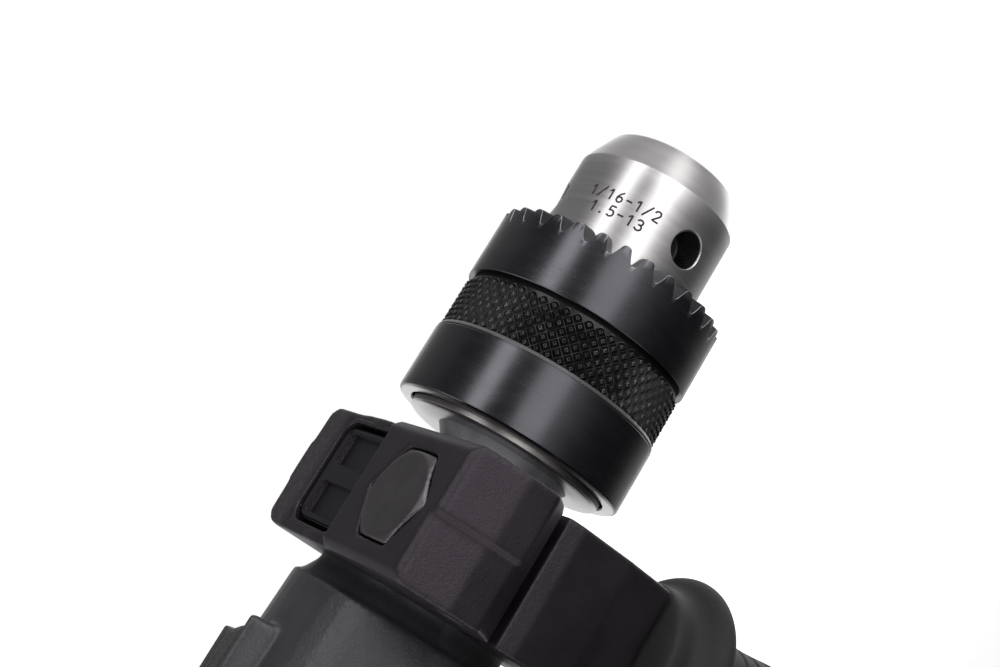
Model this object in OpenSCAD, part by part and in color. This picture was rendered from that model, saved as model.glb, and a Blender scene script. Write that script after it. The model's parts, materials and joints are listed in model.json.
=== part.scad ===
// Corded impact drill with a keyed three-jaw chuck and a clamp-on side handle.
// Tool frame: x runs along the spindle towards the chuck's nose, x = 0 is the chuck's rear face, +Z is up and
// +Y is the user's left. The module tool() moves that frame so that the part's origin lies in the middle of
// the pistol grip. The most skilled feature is the keyed chuck: three inclined jaws, the split nut that drives
// them, the bevel teeth on the sleeve and the pilot holes for the key.

/* [Chuck] */
// Outer diameter of the knurled sleeve
sleeve_d = 53; // [51:0.5:56]
// Length of the sleeve from its rear face to the roots of the bevel teeth, at the outside
sleeve_len = 41.4; // [41:0.2:43]
// Height of the bevel teeth at the outside
tooth_height = 3.1; // [2.4:0.1:3.4]
// Number of bevel teeth
key_teeth = 30; // [24:1:34]
// Rear edge of the knurled band
knurl_start = 15; // [12:0.5:16]
// Front edge of the knurled band
knurl_end = 28.75; // [26:0.25:31]
// Depth of the grooves that border the knurled band
knurl_groove = 0.5; // [0.3:0.05:0.8]
// Diameter of the nose
nose_d = 37.26; // [36.6:0.1:38]
// Diameter of the nose's front face
nose_tip_d = 28.6; // [26:0.2:31]
// Length of the chuck from its rear face to its nose
chuck_len = 72.5; // [71:0.5:76]
// Length of the nose's cone
nose_cone = 8; // [6:0.5:10]
// Diameter of the pilot holes for the key
key_hole_d = 8; // [7:0.1:8.4]
// Distance of the pilot holes from the chuck's rear face
key_hole_x = 53.8; // [52.8:0.1:55]
// Depth of the pilot holes
key_hole_depth = 8.4; // [7:0.1:8.6]
// Diameter of a jaw
jaw_d = 8.6; // [8:0.1:8.9]
// Angle of a jaw to the spindle axis
jaw_angle = 16; // [15.5:0.1:16.5]
// Largest shank that the jaws take
grip_open_d = 13; // [12:0.1:13]
// Distance of the open jaws' tips from the rear face
jaw_tip_x = 58.3; // [57:0.1:60]
// Diameter of the central bore behind the nose
bit_bore_d = 14; // [13.6:0.1:14.2]

/* [Spindle and gears] */
// Diameter of the spindle in its front bearing
spindle_d = 15; // [14:0.5:16]
// Diameter of the threaded spindle nose inside the chuck
spindle_nose_d = 12.7; // [12:0.1:13.5]
// Gear module
gear_module = 0.8; // [0.76:0.01:0.82]
// Teeth of the pinion on the armature shaft
pinion_teeth = 7; // [7:1:8]
// Teeth of the output gear
gear_teeth = 54; // [50:1:55]
// Width of the output gear
gear_width = 12; // [9:0.5:13]
// Axial travel of the spindle in hammer mode
impact_travel = 1.2; // [0.8:0.1:1.3]
// Number of teeth on each ratchet disc
ratchet_teeth = 12; // [8:1:16]
// Height of the ratchet teeth
ratchet_tooth = 1.4; // [1:0.1:1.8]

/* [Gear housing] */
// Diameter of the clamping collar
collar_d = 43; // [42:0.5:44]
// Front face of the collar, behind the chuck's rear face
collar_front = 8.5; // [8:0.1:9]
// Length of the collar
collar_len = 30.3; // [30:0.1:33]
// Wall of the gear chamber
gear_wall = 2.8; // [2.2:0.1:3.4]
// Distance from the chuck's rear face to the joint between gear housing and motor housing
joint_x = 84; // [84:0.5:88]

/* [Motor] */
// Diameter of the stator
stator_d = 58; // [54:0.5:59]
// Length of the stator
stator_len = 50; // [44:0.5:54]
// Diameter of the armature
armature_d = 31; // [28:0.5:32]
// Number of armature slots
armature_slots = 12; // [8:1:14]
// Diameter of the armature shaft in its front bearing
motor_shaft_d = 8; // [7.6:0.1:8.4]
// Diameter of the commutator
commutator_d = 22; // [20:0.5:24]
// Number of commutator bars
commutator_bars = 24; // [16:1:28]
// Diameter of the cooling fan
fan_d = 54; // [48:0.5:56]
// Number of fan blades
fan_blades = 14; // [10:1:18]

/* [Motor housing] */
// Wall of the moulded housing
shell_wall = 2.8; // [2.4:0.1:3.2]
// Outer radius of the motor barrel
barrel_r = 33.3; // [33:0.1:35]
// Thickness of the grip across the hand
grip_width = 36; // [34:0.5:38]
// Depth of the grip from front to back
grip_depth = 43; // [41:0.5:46]
// Distance from the spindle axis down to the grip's lower end
grip_reach = 172; // [166:1:180]
// Number of air slots on each side of the rear end
rear_vents = 6; // [4:1:7]
// Number of air slots on each side beside the fan
fan_vents = 5; // [3:1:6]
// Width of an air slot
vent_w = 2.6; // [2:0.1:3]

/* [Controls] */
// Width of the trigger
trigger_w = 16; // [14:0.5:18]
// Height of the trigger
trigger_h = 31; // [28:0.5:33]
// Travel of the trigger
trigger_travel = 8; // [6:0.5:8.5]
// Diameter of the speed wheel
wheel_d = 12; // [10:0.5:13]
// Diameter of the lock-on button
lock_d = 10; // [8:0.5:11]
// Travel of the mode selector
mode_travel = 8; // [6:0.5:8]

/* [Side handle] */
// Width of the clamp ring along the spindle
ring_w = 28.5; // [27:0.5:28.8]
// Front face of the clamp ring, behind the chuck's rear face
ring_front = 9.2; // [8.8:0.1:9.4]
// Wall of the clamp ring round the collar
ring_wall = 7; // [5.5:0.25:8]
// Roll of the clamp bolt from the vertical, about the spindle
ring_roll = 31; // [0:1:90]
// Distance of the clamp bolt from the spindle axis
bolt_offset = 27.6; // [27.4:0.1:29]
// Diameter of the clamp bolt
bolt_d = 8; // [7:0.1:8.4]
// Width across the flats of the clamp bolt's head
head_af = 18.4; // [16:0.2:18.6]
// Diameter of the hole for a depth rod
rod_hole_d = 8.2; // [6:0.1:8.6]
// Length of the side grip
side_grip_len = 108; // [95:1:125]
// Diameter of the side grip at its middle
side_grip_d = 33; // [30:0.5:36]

/* [Hidden] */

$fn = 64;
eps = 0.01;
big = 400;
run_gap = 0.05;   // running clearance of a shaft or slide in its bore
free_gap = 0.3;   // clearance between bodies that only pass each other
seat_gap = 0.1;   // clearance of a piece that sits in a pocket

// Places of the main groups along the spindle, as positions on x
axis_height = grip_reach - 58;
grip_x = -178;
sleeve_r = sleeve_d / 2;
nose_r = nose_d / 2;
body_flange_r = sleeve_r - 3.6;
sleeve_bore_r = body_flange_r + 0.4;
nut_len = 8;
nut_x = sleeve_len - 1.6 - nut_len;
nut_r = sleeve_bore_r - 0.6;
jaw_r = jaw_d / 2;
jaw_bore_r = jaw_r + run_gap;
jaw_axis_tip_r = grip_open_d / 2 + jaw_r / cos(jaw_angle) - 16 * tan(jaw_angle);
// A jaw ends where its back would meet the sleeve's bore
jaw_len = (sleeve_bore_r - 0.55 - jaw_axis_tip_r - jaw_r / cos(jaw_angle)) / tan(jaw_angle);
jaw_rolls = [275, 35, 155];      // roll of each jaw about the spindle, from +Y towards +Z
key_rolls = [215, 95, 335];      // roll of each pilot hole, halfway between two jaws
key_tooth_roll = 179.2;          // roll of one tooth's tip

collar_r = collar_d / 2;
collar_end = collar_front + collar_len;
bearing_r = 16;
bearing_x = -12;
bearing_w = 9;
spindle_r = spindle_d / 2;
shoulder_r = 10.4;
chuck_seat_x = -4;
shoulder_x = -9;
circlip_x = -32;
washer_x = circlip_x - 1.4;
washer_w = 2;
ledge_x = -46;
ledge_w = 4;
spring_len = washer_x - washer_w - ledge_x;
gear_x = -72;                     // rear face of the output gear
gear_r = gear_module * gear_teeth / 2;
pinion_r = gear_module * pinion_teeth / 2;
centre_distance = gear_r + pinion_r;
motor_z = -centre_distance;
gear_chamber_r = gear_r + 1.6;
gear_outer_r = gear_chamber_r + gear_wall;
ratchet_r = 16;
ratchet_w = 5;
bracket_w = 8;
bush_r = 5;
tooth_clearance = 0.35;           // gap left at the roots of meshing teeth
pressure_angle = 20;
gear_ratio = gear_teeth / pinion_teeth;

// Motor parts, measured back from the joint between the housings
fan_w = 10;
fan_x = -joint_x - bracket_w - 7 - fan_w;
baffle_x = fan_x - 4;
stator_front = baffle_x - 7;
stator_x = stator_front - stator_len;
stator_r = stator_d / 2;
armature_r = armature_d / 2;
stator_bore_r = armature_r + 0.6;
shaft_r = motor_shaft_d / 2;
commutator_len = 16;
commutator_x = stator_x - 11 - commutator_len;
rear_bearing_x = commutator_x - 6;
barrel_end = rear_bearing_x - 17;

// Grip and controls, in the tool frame
grip_top = [-172, -57];
grip_end = [-187, -grip_reach];
trigger_top = -68;
trigger_front = -138;
trigger_depth = 15;
switch_front = trigger_front - trigger_depth - trigger_travel - free_gap - 0.7;
switch_len = 25;
wheel_r = wheel_d / 2;
lock_r = lock_d / 2;
lock_at = [-171, -82];
lever_pivot_x = -172;
lever_z = trigger_top + 2.3;
capacitor_z = -126;
clamp_z = -145;
wheel_at = [trigger_front - 6.2, trigger_top - 8];
mode_x = -66;
mode_rest_y = mode_travel / 2;
mode_plate = 2 * mode_travel + 7;     // long enough to cover the slot in both positions

// Side handle, in the ring's own frame: z' along the clamp bolt towards its head, y' away from the bolt
ring_mid = -ring_front - ring_w / 2;
ring_rear = -ring_front - ring_w;
ring_bore_r = collar_r + run_gap * 2;
ring_r = ring_bore_r + ring_wall;
boss_top = 32;
boss_left = -10.6;
guide_right = -48.4;
block_top = 28.3;
ear_gap = 2;
ear_edge = 4;
ear_end = -ring_r - 0.6;           // level with the ring's underside, where the side grip seats
rod_at = [-40.4, 17];
head_depth = 6;
head_len = 6.3;
flange_r = 21;
grip_start = ear_end - free_gap;

module tool() translate([-grip_x, 0, axis_height]) children();

// Turns a shape drawn round the z axis so that it lies round the spindle axis
module along_x(x) translate([x, 0, 0]) rotate([0, 90, 0]) children();

// The same round the motor's axis
module along_motor(x) translate([x, 0, motor_z]) rotate([0, 90, 0]) children();

module ring(r_out, r_in, h) difference() {
    cylinder(r = r_out, h = h);
    translate([0, 0, -eps]) cylinder(r = r_in, h = h + 2 * eps);
}

// A ball bearing: outer race, shields and inner race as one turned solid
module ball_bearing(r_out, r_in, w) rotate_extrude() difference() {
    translate([r_in, 0]) square([r_out - r_in, w]);
    for (z = [-eps, w - 0.5]) translate([r_in + (r_out - r_in) * 0.28, z])
        square([(r_out - r_in) * 0.44, 0.5 + eps]);
}

// Involute gear outline. shift is the profile shift in modules, thin the amount taken off each flank.
function involute(rb, t) = rb * [cos(t) + t * PI / 180 * sin(t), sin(t) - t * PI / 180 * cos(t)];
function turned(p, a) = [p[0] * cos(a) - p[1] * sin(a), p[0] * sin(a) + p[1] * cos(a)];
function unwind(rb, r) = r <= rb ? 0 : sqrt(pow(r / rb, 2) - 1) * 180 / PI;
function flank(rb, r_low, r_top, half, n) = [for (i = [0:n])
    let (r = max(rb, r_low) + (r_top - max(rb, r_low)) * i / n,
        p = involute(rb, unwind(rb, r)))
    turned(p, -half)];
module gear_outline(m, z, shift, r_top, r_root, thin, n = 4) {
    rp = m * z / 2;
    rb = rp * cos(pressure_angle);
    inv = tan(pressure_angle) * 180 / PI - pressure_angle;
    half = 90 / z + 2 * shift * tan(pressure_angle) / z * 180 / PI + inv - thin / rp * 180 / PI;
    tooth = flank(rb, r_root, r_top, half, n);
    mirrored = [for (i = [n:-1:0]) [tooth[i][0], -tooth[i][1]]];
    foot = turned([r_root, 0], -half);
    one = concat([foot], tooth, mirrored, [[foot[0], -foot[1]]]);
    union() {
        circle(r = r_root);
        for (k = [0:z - 1]) rotate(k * 360 / z) polygon(concat([[0, 0]], one));
    }
}

// Chuck

// The jaw's own frame: its axis leaves the tip backwards and outwards, in the plane of x and z
module jaw_frame() translate([jaw_tip_x, 0, jaw_axis_tip_r]) rotate([0, jaw_angle - 90, 0]) children();

// Turns a shape drawn with +Z outwards to the roll given from +Y towards +Z
module at_roll(roll) rotate([roll - 90, 0, 0]) children();

module chuck_body() color("silver") tool() difference() {
    along_x(0) rotate_extrude() polygon([
        [0, chuck_seat_x], [13.6, chuck_seat_x], [16.1, 0], [19.4, 0], [19.4, 0.6], [body_flange_r, 0.6],
        [body_flange_r, 6], [nose_r - 0.4, 6], [nose_r - 0.4, nut_x - 0.3],
        [15, nut_x - 0.3], [15, nut_x + nut_len + 0.3], [nose_r, nut_x + nut_len + 0.3],
        [nose_r, chuck_len - nose_cone], [nose_tip_d / 2 + 0.8, chuck_len - 0.5],
        [nose_tip_d / 2 - 0.3, chuck_len], [0, chuck_len]]);
    along_x(20) cylinder(d = bit_bore_d, h = big);
    along_x(chuck_seat_x - 1) cylinder(d = spindle_nose_d + 2 * run_gap, h = 22);
    along_x(17) cylinder(d = 6.5, h = 4);
    for (roll = jaw_rolls) at_roll(roll) jaw_frame()
        translate([0, 0, -20]) cylinder(r = jaw_bore_r, h = jaw_len / cos(jaw_angle) + 24);
    for (roll = key_rolls) at_roll(roll)
        translate([key_hole_x, 0, nose_r - key_hole_depth]) cylinder(d = key_hole_d, h = 20);
}

// The sleeve: a thin drum over the body, a band for the knurl, and bevel teeth round its front edge
module sleeve_section() polygon([
    [sleeve_bore_r, 0.2], [sleeve_r - 0.6, 0.2], [sleeve_r, 0.8],
    [sleeve_r, knurl_start - 0.3], [sleeve_r - knurl_groove - 0.3, knurl_start],
    [sleeve_r - knurl_groove - 0.3, knurl_end], [sleeve_r, knurl_end + 0.5],
    [sleeve_r, sleeve_len + tooth_height - 0.3], [sleeve_r - 0.3, sleeve_len + tooth_height],
    [nose_r + 1.6, sleeve_len + tooth_height + 1.5], [nose_r + run_gap * 2, sleeve_len + tooth_height + 1.5],
    [nose_r + run_gap * 2, nut_x + nut_len + 0.6], [nut_r, nut_x + nut_len + 0.6],
    [nut_r, nut_x - 0.4], [sleeve_bore_r, nut_x - 0.4]]);

module chuck_sleeve() color([0.07, 0.07, 0.08]) tool() difference() {
    along_x(0) rotate_extrude($fn = 96) sleeve_section();
    root_slope = atan((sleeve_r - nose_r) > 0 ? 2.6 / (sleeve_r - nose_r) : 0);
    half_pitch = PI * sleeve_r / key_teeth * 0.93;
    for (k = [0:key_teeth - 1]) at_roll(key_tooth_roll + (k + 0.5) * 360 / key_teeth)
        translate([sleeve_len, 0, sleeve_r]) rotate([0, root_slope, 0]) translate([0, 0, -12])
            linear_extrude(height = 16) polygon([[0, -0.55], [0, 0.55],
                [tooth_height * 2, half_pitch * 2], [tooth_height * 2, -half_pitch * 2]]);
}

// The split nut: a conical thread seat in two halves, pressed into the sleeve
module jaw_nut() color("dimgray") tool() difference() {
    cone_r = jaw_axis_tip_r + (jaw_tip_x - nut_x) * tan(jaw_angle) + jaw_r / cos(jaw_angle) + 0.25;
    along_x(nut_x) rotate_extrude() polygon([
        [cone_r, 0], [nut_r, 0], [nut_r, nut_len], [cone_r - nut_len * tan(jaw_angle), nut_len]]);
    translate([nut_x - 1, -0.3, -big / 2]) cube([nut_len + 2, 0.6, big]);
}

module jaw(roll) color("gray") tool() at_roll(roll) intersection() {
    difference() {
        jaw_frame() translate([0, 0, -10]) cylinder(r = jaw_r, h = jaw_len / cos(jaw_angle) + 10);
        for (k = [0:6]) jaw_frame() translate([-jaw_r - 0.4, -6, 18 + k * 3])
            rotate([0, 45, 0]) cube([1, 12, 1], center = false);
    }
    translate([jaw_tip_x - jaw_len, 0, 0]) rotate([90, 0, 90]) linear_extrude(height = jaw_len)
        polygon([[0, grip_open_d / 2], [-26, grip_open_d / 2 + 26 / tan(60)], [-26, 40], [26, 40],
            [26, grip_open_d / 2 + 26 / tan(60)]]);
}
module jaw_1() jaw(jaw_rolls[0]);
module jaw_2() jaw(jaw_rolls[1]);
module jaw_3() jaw(jaw_rolls[2]);

// The left-hand screw inside the chuck that locks it to the spindle
module chuck_screw() color("black") tool() {
    along_x(20 + seat_gap) cylinder(r = 5, h = 3.4);
    along_x(6) cylinder(r = 3, h = 14 + seat_gap + eps);
}

// Spindle train

module spindle() color("lightgray") tool() difference() {
    along_x(0) rotate_extrude() polygon([
        [0, gear_x - 2 * ratchet_w - bracket_w - 1], [bush_r - 0.5, gear_x - 2 * ratchet_w - bracket_w - 1],
        [bush_r, gear_x - 2 * ratchet_w - bracket_w - 0.5], [bush_r, gear_x - ratchet_w - 0.5],
        [spindle_r - run_gap, gear_x - ratchet_w - 0.5], [spindle_r - run_gap, circlip_x - 1.5],
        [spindle_r - 0.8, circlip_x - 1.5], [spindle_r - 0.8, circlip_x],
        [spindle_r - run_gap, circlip_x], [spindle_r - run_gap, shoulder_x], [shoulder_r, shoulder_x],
        [shoulder_r, chuck_seat_x], [spindle_nose_d / 2, chuck_seat_x], [spindle_nose_d / 2, 16],
        [spindle_nose_d / 2 - 0.8, 16.8], [0, 16.8]]);
    along_x(5) cylinder(r = 3 + run_gap, h = 20);
}

module spindle_circlip() color("dimgray") tool() difference() {
    along_x(circlip_x - 1.4) ring(shoulder_r, spindle_r - 0.75, 1.3);
    translate([circlip_x - 2, -1.5, 0]) cube([3, 3, 20]);
}

// Holds the spindle's thrust against the impact spring, and slides with the spindle without turning
module thrust_washer() color("silver") tool()
    along_x(washer_x - washer_w - 0.05) ring(12.6, spindle_r + run_gap, washer_w);

module impact_spring() color("gray") tool()
    along_x(ledge_x + 0.05) ring(11.5, 9, spring_len - 0.15);

module output_gear() color("darkgray") tool() difference() {
    along_x(gear_x) linear_extrude(height = gear_width)
        gear_outline(gear_module, gear_teeth, -0.5, gear_r + gear_module * 0.19,
            gear_r - gear_module * 1.75, 0.07, 2);
    along_x(gear_x - 1) cylinder(r = spindle_r - run_gap / 2, h = gear_width + 2);
    for (k = [0:5]) rotate([k * 60 + 30, 0, 0]) translate([gear_x - 1, 0, gear_r * 0.62])
        rotate([0, 90, 0]) cylinder(r = gear_r * 0.14, h = gear_width + 2);
}

// Radial V grooves that leave ratchet teeth on one face of a disc; side is +1 for a face towards +X
module ratchet_cuts(x, side) for (k = [0:ratchet_teeth - 1]) rotate([k * 360 / ratchet_teeth, 0, 0])
    translate([x, 0, 0]) linear_extrude(height = 30) polygon([
        [side * 0.5, -PI * ratchet_r / ratchet_teeth], [side * 0.5, PI * ratchet_r / ratchet_teeth],
        [-side * ratchet_tooth, 0.4], [-side * ratchet_tooth, -0.4]]);

module moving_ratchet() color("gray") tool() difference() {
    along_x(gear_x - ratchet_w) ring(ratchet_r, spindle_r - run_gap / 2, ratchet_w);
    ratchet_cuts(gear_x - ratchet_w, -1);
}

fixed_ratchet_x = gear_x - ratchet_w - impact_travel - free_gap;
module fixed_ratchet() color("gray") tool() difference() {
    along_x(-joint_x) ring(ratchet_r, spindle_r + 1, fixed_ratchet_x + joint_x);
    ratchet_cuts(fixed_ratchet_x, 1);
}

module front_bearing() color("silver") tool()
    along_x(bearing_x - bearing_w) ball_bearing(bearing_r, spindle_r, bearing_w);

module front_seal() color([0.1, 0.1, 0.1]) tool()
    along_x(bearing_x) ring(bearing_r - 0.4, shoulder_r + 0.35, -collar_front - bearing_x - 0.4);

module spindle_bush() color("peru") tool()
    along_x(-joint_x - bracket_w) ring(bush_r + 3, bush_r + run_gap, bracket_w);

// Gear housing

// The outer form of the casting behind the collar, drawn as one rounded hull
module gear_cover(grow, back) hull() {
    along_x(-collar_end - 6 - grow) cylinder(r = gear_outer_r - 1 + grow, h = 2, $fn = 40);
    along_x(-joint_x - back) cylinder(r = gear_outer_r + grow, h = 12 + back, $fn = 40);
    along_motor(-joint_x - back) cylinder(r = barrel_r + grow, h = 8 + back, $fn = 56);
    along_motor(-joint_x + 22) cylinder(r = barrel_r - 13 + grow, h = 2, $fn = 40);
}

screw_rolls = [11, 169, 224.5, 315.5];
casing_screw_r = barrel_r - shell_wall - 4;
function casing_screw(roll) = [cos(roll) * casing_screw_r, motor_z + sin(roll) * casing_screw_r];

module gear_housing() color([0.09, 0.09, 0.1]) tool() difference() {
    union() {
        gear_cover(0, 0);
        along_x(-collar_end - 6) cylinder(r1 = gear_outer_r - 1, r2 = collar_r, h = 6);
        along_x(-collar_end - 6) cylinder(r = collar_r, h = collar_len + 6 - 0.8);
        along_x(-collar_front - 0.8) cylinder(r1 = collar_r, r2 = collar_r - 0.8, h = 0.8);
        // Raised rails that guard the mode selector on top
        for (s = [-1, 1]) translate([mode_x - 11, s * 15 - 1.5, gear_outer_r - 6]) cube([22, 3, 6]);
    }
    along_x(bearing_x - bearing_w) cylinder(r = bearing_r + seat_gap / 2, h = 30);
    along_x(ledge_x) cylinder(r = 13, h = -ledge_x + bearing_x - bearing_w + eps);
    along_x(ledge_x - ledge_w - 1) cylinder(r = spindle_r + free_gap, h = ledge_w + 2);
    along_x(-joint_x - 1) cylinder(r = gear_chamber_r, h = ledge_x - ledge_w + joint_x + 1);
    along_motor(-joint_x - 1) cylinder(r = pinion_r + 8, h = 27);
    // Slot for the shift bar, and the pocket of the selector
    translate([mode_x - 4.5 - free_gap, -mode_rest_y - 3 - free_gap, gear_chamber_r - 2])
        cube([9 + 2 * free_gap, mode_travel + 6 + 2 * free_gap, 12]);
    for (roll = screw_rolls) translate([-joint_x - 1, casing_screw(roll)[0], casing_screw(roll)[1]])
        rotate([0, 90, 0]) cylinder(r = 1.9, h = 13);
}

// Four screws from the bracket into the casting
module gear_housing_screws() color("silver") tool() for (roll = screw_rolls)
    translate([-joint_x, casing_screw(roll)[0], casing_screw(roll)[1]]) rotate([0, 90, 0]) {
        cylinder(r = 1.85, h = 11);
        translate([0, 0, -bracket_w - 2.4]) cylinder(r = 1.85, h = bracket_w + 2.4);
        translate([0, 0, -bracket_w - 2.4]) cylinder(r = 3.5, h = 2.4);
    }

// The plate that closes the gear chamber and carries the rear spindle bush and the front motor bearing
module bearing_bracket() color("silver") tool() difference() {
    union() {
        along_x(-joint_x - bracket_w) cylinder(r = gear_outer_r - shell_wall - seat_gap, h = bracket_w);
        along_motor(-joint_x - bracket_w) cylinder(r = barrel_r - shell_wall - seat_gap, h = bracket_w);
        along_motor(-joint_x - bracket_w - 3) cylinder(r = 14, h = 3.5);
    }
    along_x(-joint_x - bracket_w - 1) cylinder(r = bush_r + 3, h = bracket_w + 2);
    along_motor(-joint_x - bracket_w - 4) cylinder(r = 11 + seat_gap / 2, h = 7 + 4 - 3);
    along_motor(-joint_x - bracket_w - 4) cylinder(r = 6, h = big);
    for (roll = screw_rolls) translate([-joint_x - 20, casing_screw(roll)[0], casing_screw(roll)[1]])
        rotate([0, 90, 0]) cylinder(r = 1.9, h = 40);
}

// Mode selector: a ribbed slider on top of the casting, joined to a bar inside it
module mode_knob() color([0.16, 0.16, 0.17]) tool()
    translate([mode_x, mode_rest_y, gear_outer_r + free_gap]) difference() {
        union() {
            translate([-8, -mode_plate / 2, 0]) cube([16, mode_plate, 2.4]);
            translate([0, 0, 2.4 - eps]) for (k = [-2:2]) translate([-6, k * 2.6 - 0.7, 0]) cube([12, 1.4, 1.8]);
        }
        for (s = [-1, 1]) translate([s * 10, 0, 4]) rotate([0, s * 40, 0]) cube([4, 30, 8], center = true);
    }

module mode_shift_bar() color("gray") tool()
    translate([mode_x - 4.5, mode_rest_y - 3, gear_chamber_r - 0.9])
        cube([9, 6, gear_outer_r + free_gap - gear_chamber_r + 0.9]);

// Motor

module armature_shaft() color("lightgray") tool() {
    along_motor(0) rotate_extrude() polygon([
        [0, rear_bearing_x - 7], [3.5, rear_bearing_x - 7], [3.5, rear_bearing_x + 1],
        [shaft_r + 1, rear_bearing_x + 1], [shaft_r + 1, -joint_x - bracket_w - 6],
        [shaft_r - run_gap, -joint_x - bracket_w - 6], [shaft_r - run_gap, gear_x - 4],
        [pinion_r - 0.9, gear_x - 4], [pinion_r - 0.9, gear_x + gear_width + 0.8],
        [0, gear_x + gear_width + 0.8]]);
    along_motor(gear_x - 1) rotate([0, 0, 180 + 180 / pinion_teeth]) linear_extrude(height = gear_width + 2)
        gear_outline(gear_module, pinion_teeth, 0.5, pinion_r + gear_module * 1.31,
            pinion_r - gear_module * 0.75, 0.07, 4);
}

module armature_core() color("darkslategray") tool() difference() {
    along_motor(stator_x + 2) cylinder(r = armature_r, h = stator_len - 4);
    along_motor(stator_x) cylinder(r = shaft_r + 1, h = stator_len);
    for (k = [0:armature_slots - 1]) translate([0, 0, motor_z]) rotate([k * 360 / armature_slots, 0, 0]) {
        translate([stator_x, -0.9, armature_r - 2.5]) cube([stator_len, 1.8, 4]);
        translate([stator_x, 0, armature_r - 4.2]) rotate([0, 90, 0]) cylinder(r = 2, h = stator_len);
    }
}

// End turns of the armature winding, with the varnished wire seen as two crowned rings
module armature_windings() color("firebrick") tool() for (x = [stator_x - 7, stator_x + stator_len - 2])
    along_motor(x) rotate_extrude() polygon([[shaft_r + 1, 0], [armature_r - 4, 0], [armature_r - 1.5, 2.5],
        [armature_r - 1.5, 6.5], [armature_r - 4, 9], [shaft_r + 1, 9]]);

module commutator() color("peru") tool() difference() {
    along_motor(commutator_x) cylinder(d = commutator_d, h = commutator_len);
    along_motor(commutator_x - 1) cylinder(r = shaft_r + 1, h = commutator_len + 2);
    for (k = [0:commutator_bars - 1]) translate([0, 0, motor_z]) rotate([k * 360 / commutator_bars, 0, 0])
        translate([commutator_x - 1, -0.3, commutator_d / 2 - 1]) cube([commutator_len - 2, 0.6, 3]);
}

module cooling_fan() color([0.2, 0.2, 0.22]) tool() {
    along_motor(fan_x - 0.5) ring(11, shaft_r + 1, fan_w + 0.5);
    along_motor(fan_x) ring(fan_d / 2, 10.5, 2);
    for (k = [0:fan_blades - 1]) translate([fan_x, 0, motor_z]) rotate([k * 360 / fan_blades, 0, 0])
        translate([1.5, -0.7, 10.2]) cube([fan_w - 2, 1.4, fan_d / 2 - 11.4]);
}

module armature_front_bearing() color("silver") tool()
    along_motor(-joint_x - bracket_w - 3) ball_bearing(11, shaft_r, 7);

module armature_rear_bearing() color("silver") tool()
    along_motor(rear_bearing_x - 6) ball_bearing(9.5, 3.5 + run_gap, 6);

module stator_core() color("slategray") tool() difference() {
    along_motor(stator_x) cylinder(r = stator_r, h = stator_len);
    along_motor(stator_x - 1) cylinder(r = stator_bore_r, h = stator_len + 2);
    for (s = [-1, 1]) {
        translate([stator_x - 1, s * (stator_r + 9), motor_z]) cube([big, 20, big], center = true);
        for (t = [-1, 1]) translate([stator_x - 1, t * 20, motor_z + s * 13]) rotate([0, 90, 0])
            cylinder(r = 4.6, h = stator_len + 2);
    }
}

// Two field coils: each runs through two slots of the stator and bends round both of its ends
module field_coils() color("firebrick") tool() for (s = [-1, 1]) {
    for (t = [-1, 1]) translate([stator_x - 5, t * 20, motor_z + s * 13]) rotate([0, 90, 0])
        cylinder(r = 4.4, h = stator_len + 10);
    for (x = [stator_x - 5, stator_x + stator_len + 0.2]) translate([x, -20, motor_z + s * 20 - 2.5])
        cube([4.8, 40, 5]);
    for (x = [stator_x - 5, stator_x + stator_len + 0.2]) for (t = [-1, 1])
        translate([x, t * 20 - 3, motor_z + s * 16.5 - 4]) cube([4.8, 6, 8]);
}

module air_baffle() color([0.12, 0.12, 0.13]) tool() difference() {
    along_motor(baffle_x) ring(barrel_r - shell_wall - free_gap, fan_d / 2 - 5, 2.4);
    translate([fan_x - 20, -big / 2, motor_z + fan_d / 2 - 3]) cube([40, big, big]);
}

// A brush holder reaches from the commutator to the barrel's wall; brush and spring share its length
brush_x = commutator_x + 7;
holder_start = commutator_d / 2 + 2;
holder_end = sqrt(pow(barrel_r - shell_wall - 1.8, 2) - 36);
brush_start = commutator_d / 2 + 0.2;
spring_start = brush_start + 10.2;
module brush_holders() color("goldenrod") tool() for (s = [0, 180]) translate([brush_x, 0, motor_z])
    rotate([s, 0, 0]) difference() {
        translate([-5, holder_start, -6]) cube([10, holder_end - holder_start, 12]);
        translate([-3.1, holder_start - 1, -4.1]) cube([6.2, holder_end - holder_start + 2, 8.2]);
    }

module carbon_brushes() color("black") tool() for (s = [0, 180]) translate([brush_x, 0, motor_z])
    rotate([s, 0, 0]) translate([-3, brush_start, -4]) cube([6, 10, 8]);

module brush_springs() color("silver") tool() for (s = [0, 180]) translate([brush_x, 0, motor_z])
    rotate([s, 0, 0]) translate([0, spring_start, 0]) rotate([-90, 0, 0]) ring(2.8, 2, holder_end - spring_start);

// Motor housing

// Outer form of the barrel: it narrows towards a rounded rear end. cut draws it smaller by a wall.
module barrel_form(cut) hull() {
    along_x(-joint_x - 30) cylinder(r = gear_outer_r - cut, h = 30, $fn = 40);
    along_motor(stator_x - 4) cylinder(r = barrel_r - cut, h = -joint_x - stator_x + 4, $fn = 56);
    translate([0, 0, -7]) along_x(barrel_end + 16) cylinder(r = 21 - cut, h = 20, $fn = 40);
    along_motor(barrel_end + 14) cylinder(r = barrel_r - 1 - cut, h = 20, $fn = 56);
    translate([0, 0, 2]) along_motor(barrel_end + cut) cylinder(r = barrel_r - 9 - cut, h = 6, $fn = 40);
}

// One oval slice of the grip: depth along x, grip_width across, corner radius r
module grip_slice(x, z, depth, width, r) for (sx = [-1, 1]) for (sy = [-1, 1])
    translate([x + sx * (depth / 2 - r), sy * (width / 2 - r), z]) cylinder(r = r, h = 1, $fn = 24);

function on_grip(t) = grip_top + (grip_end - grip_top) * t;

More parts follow.
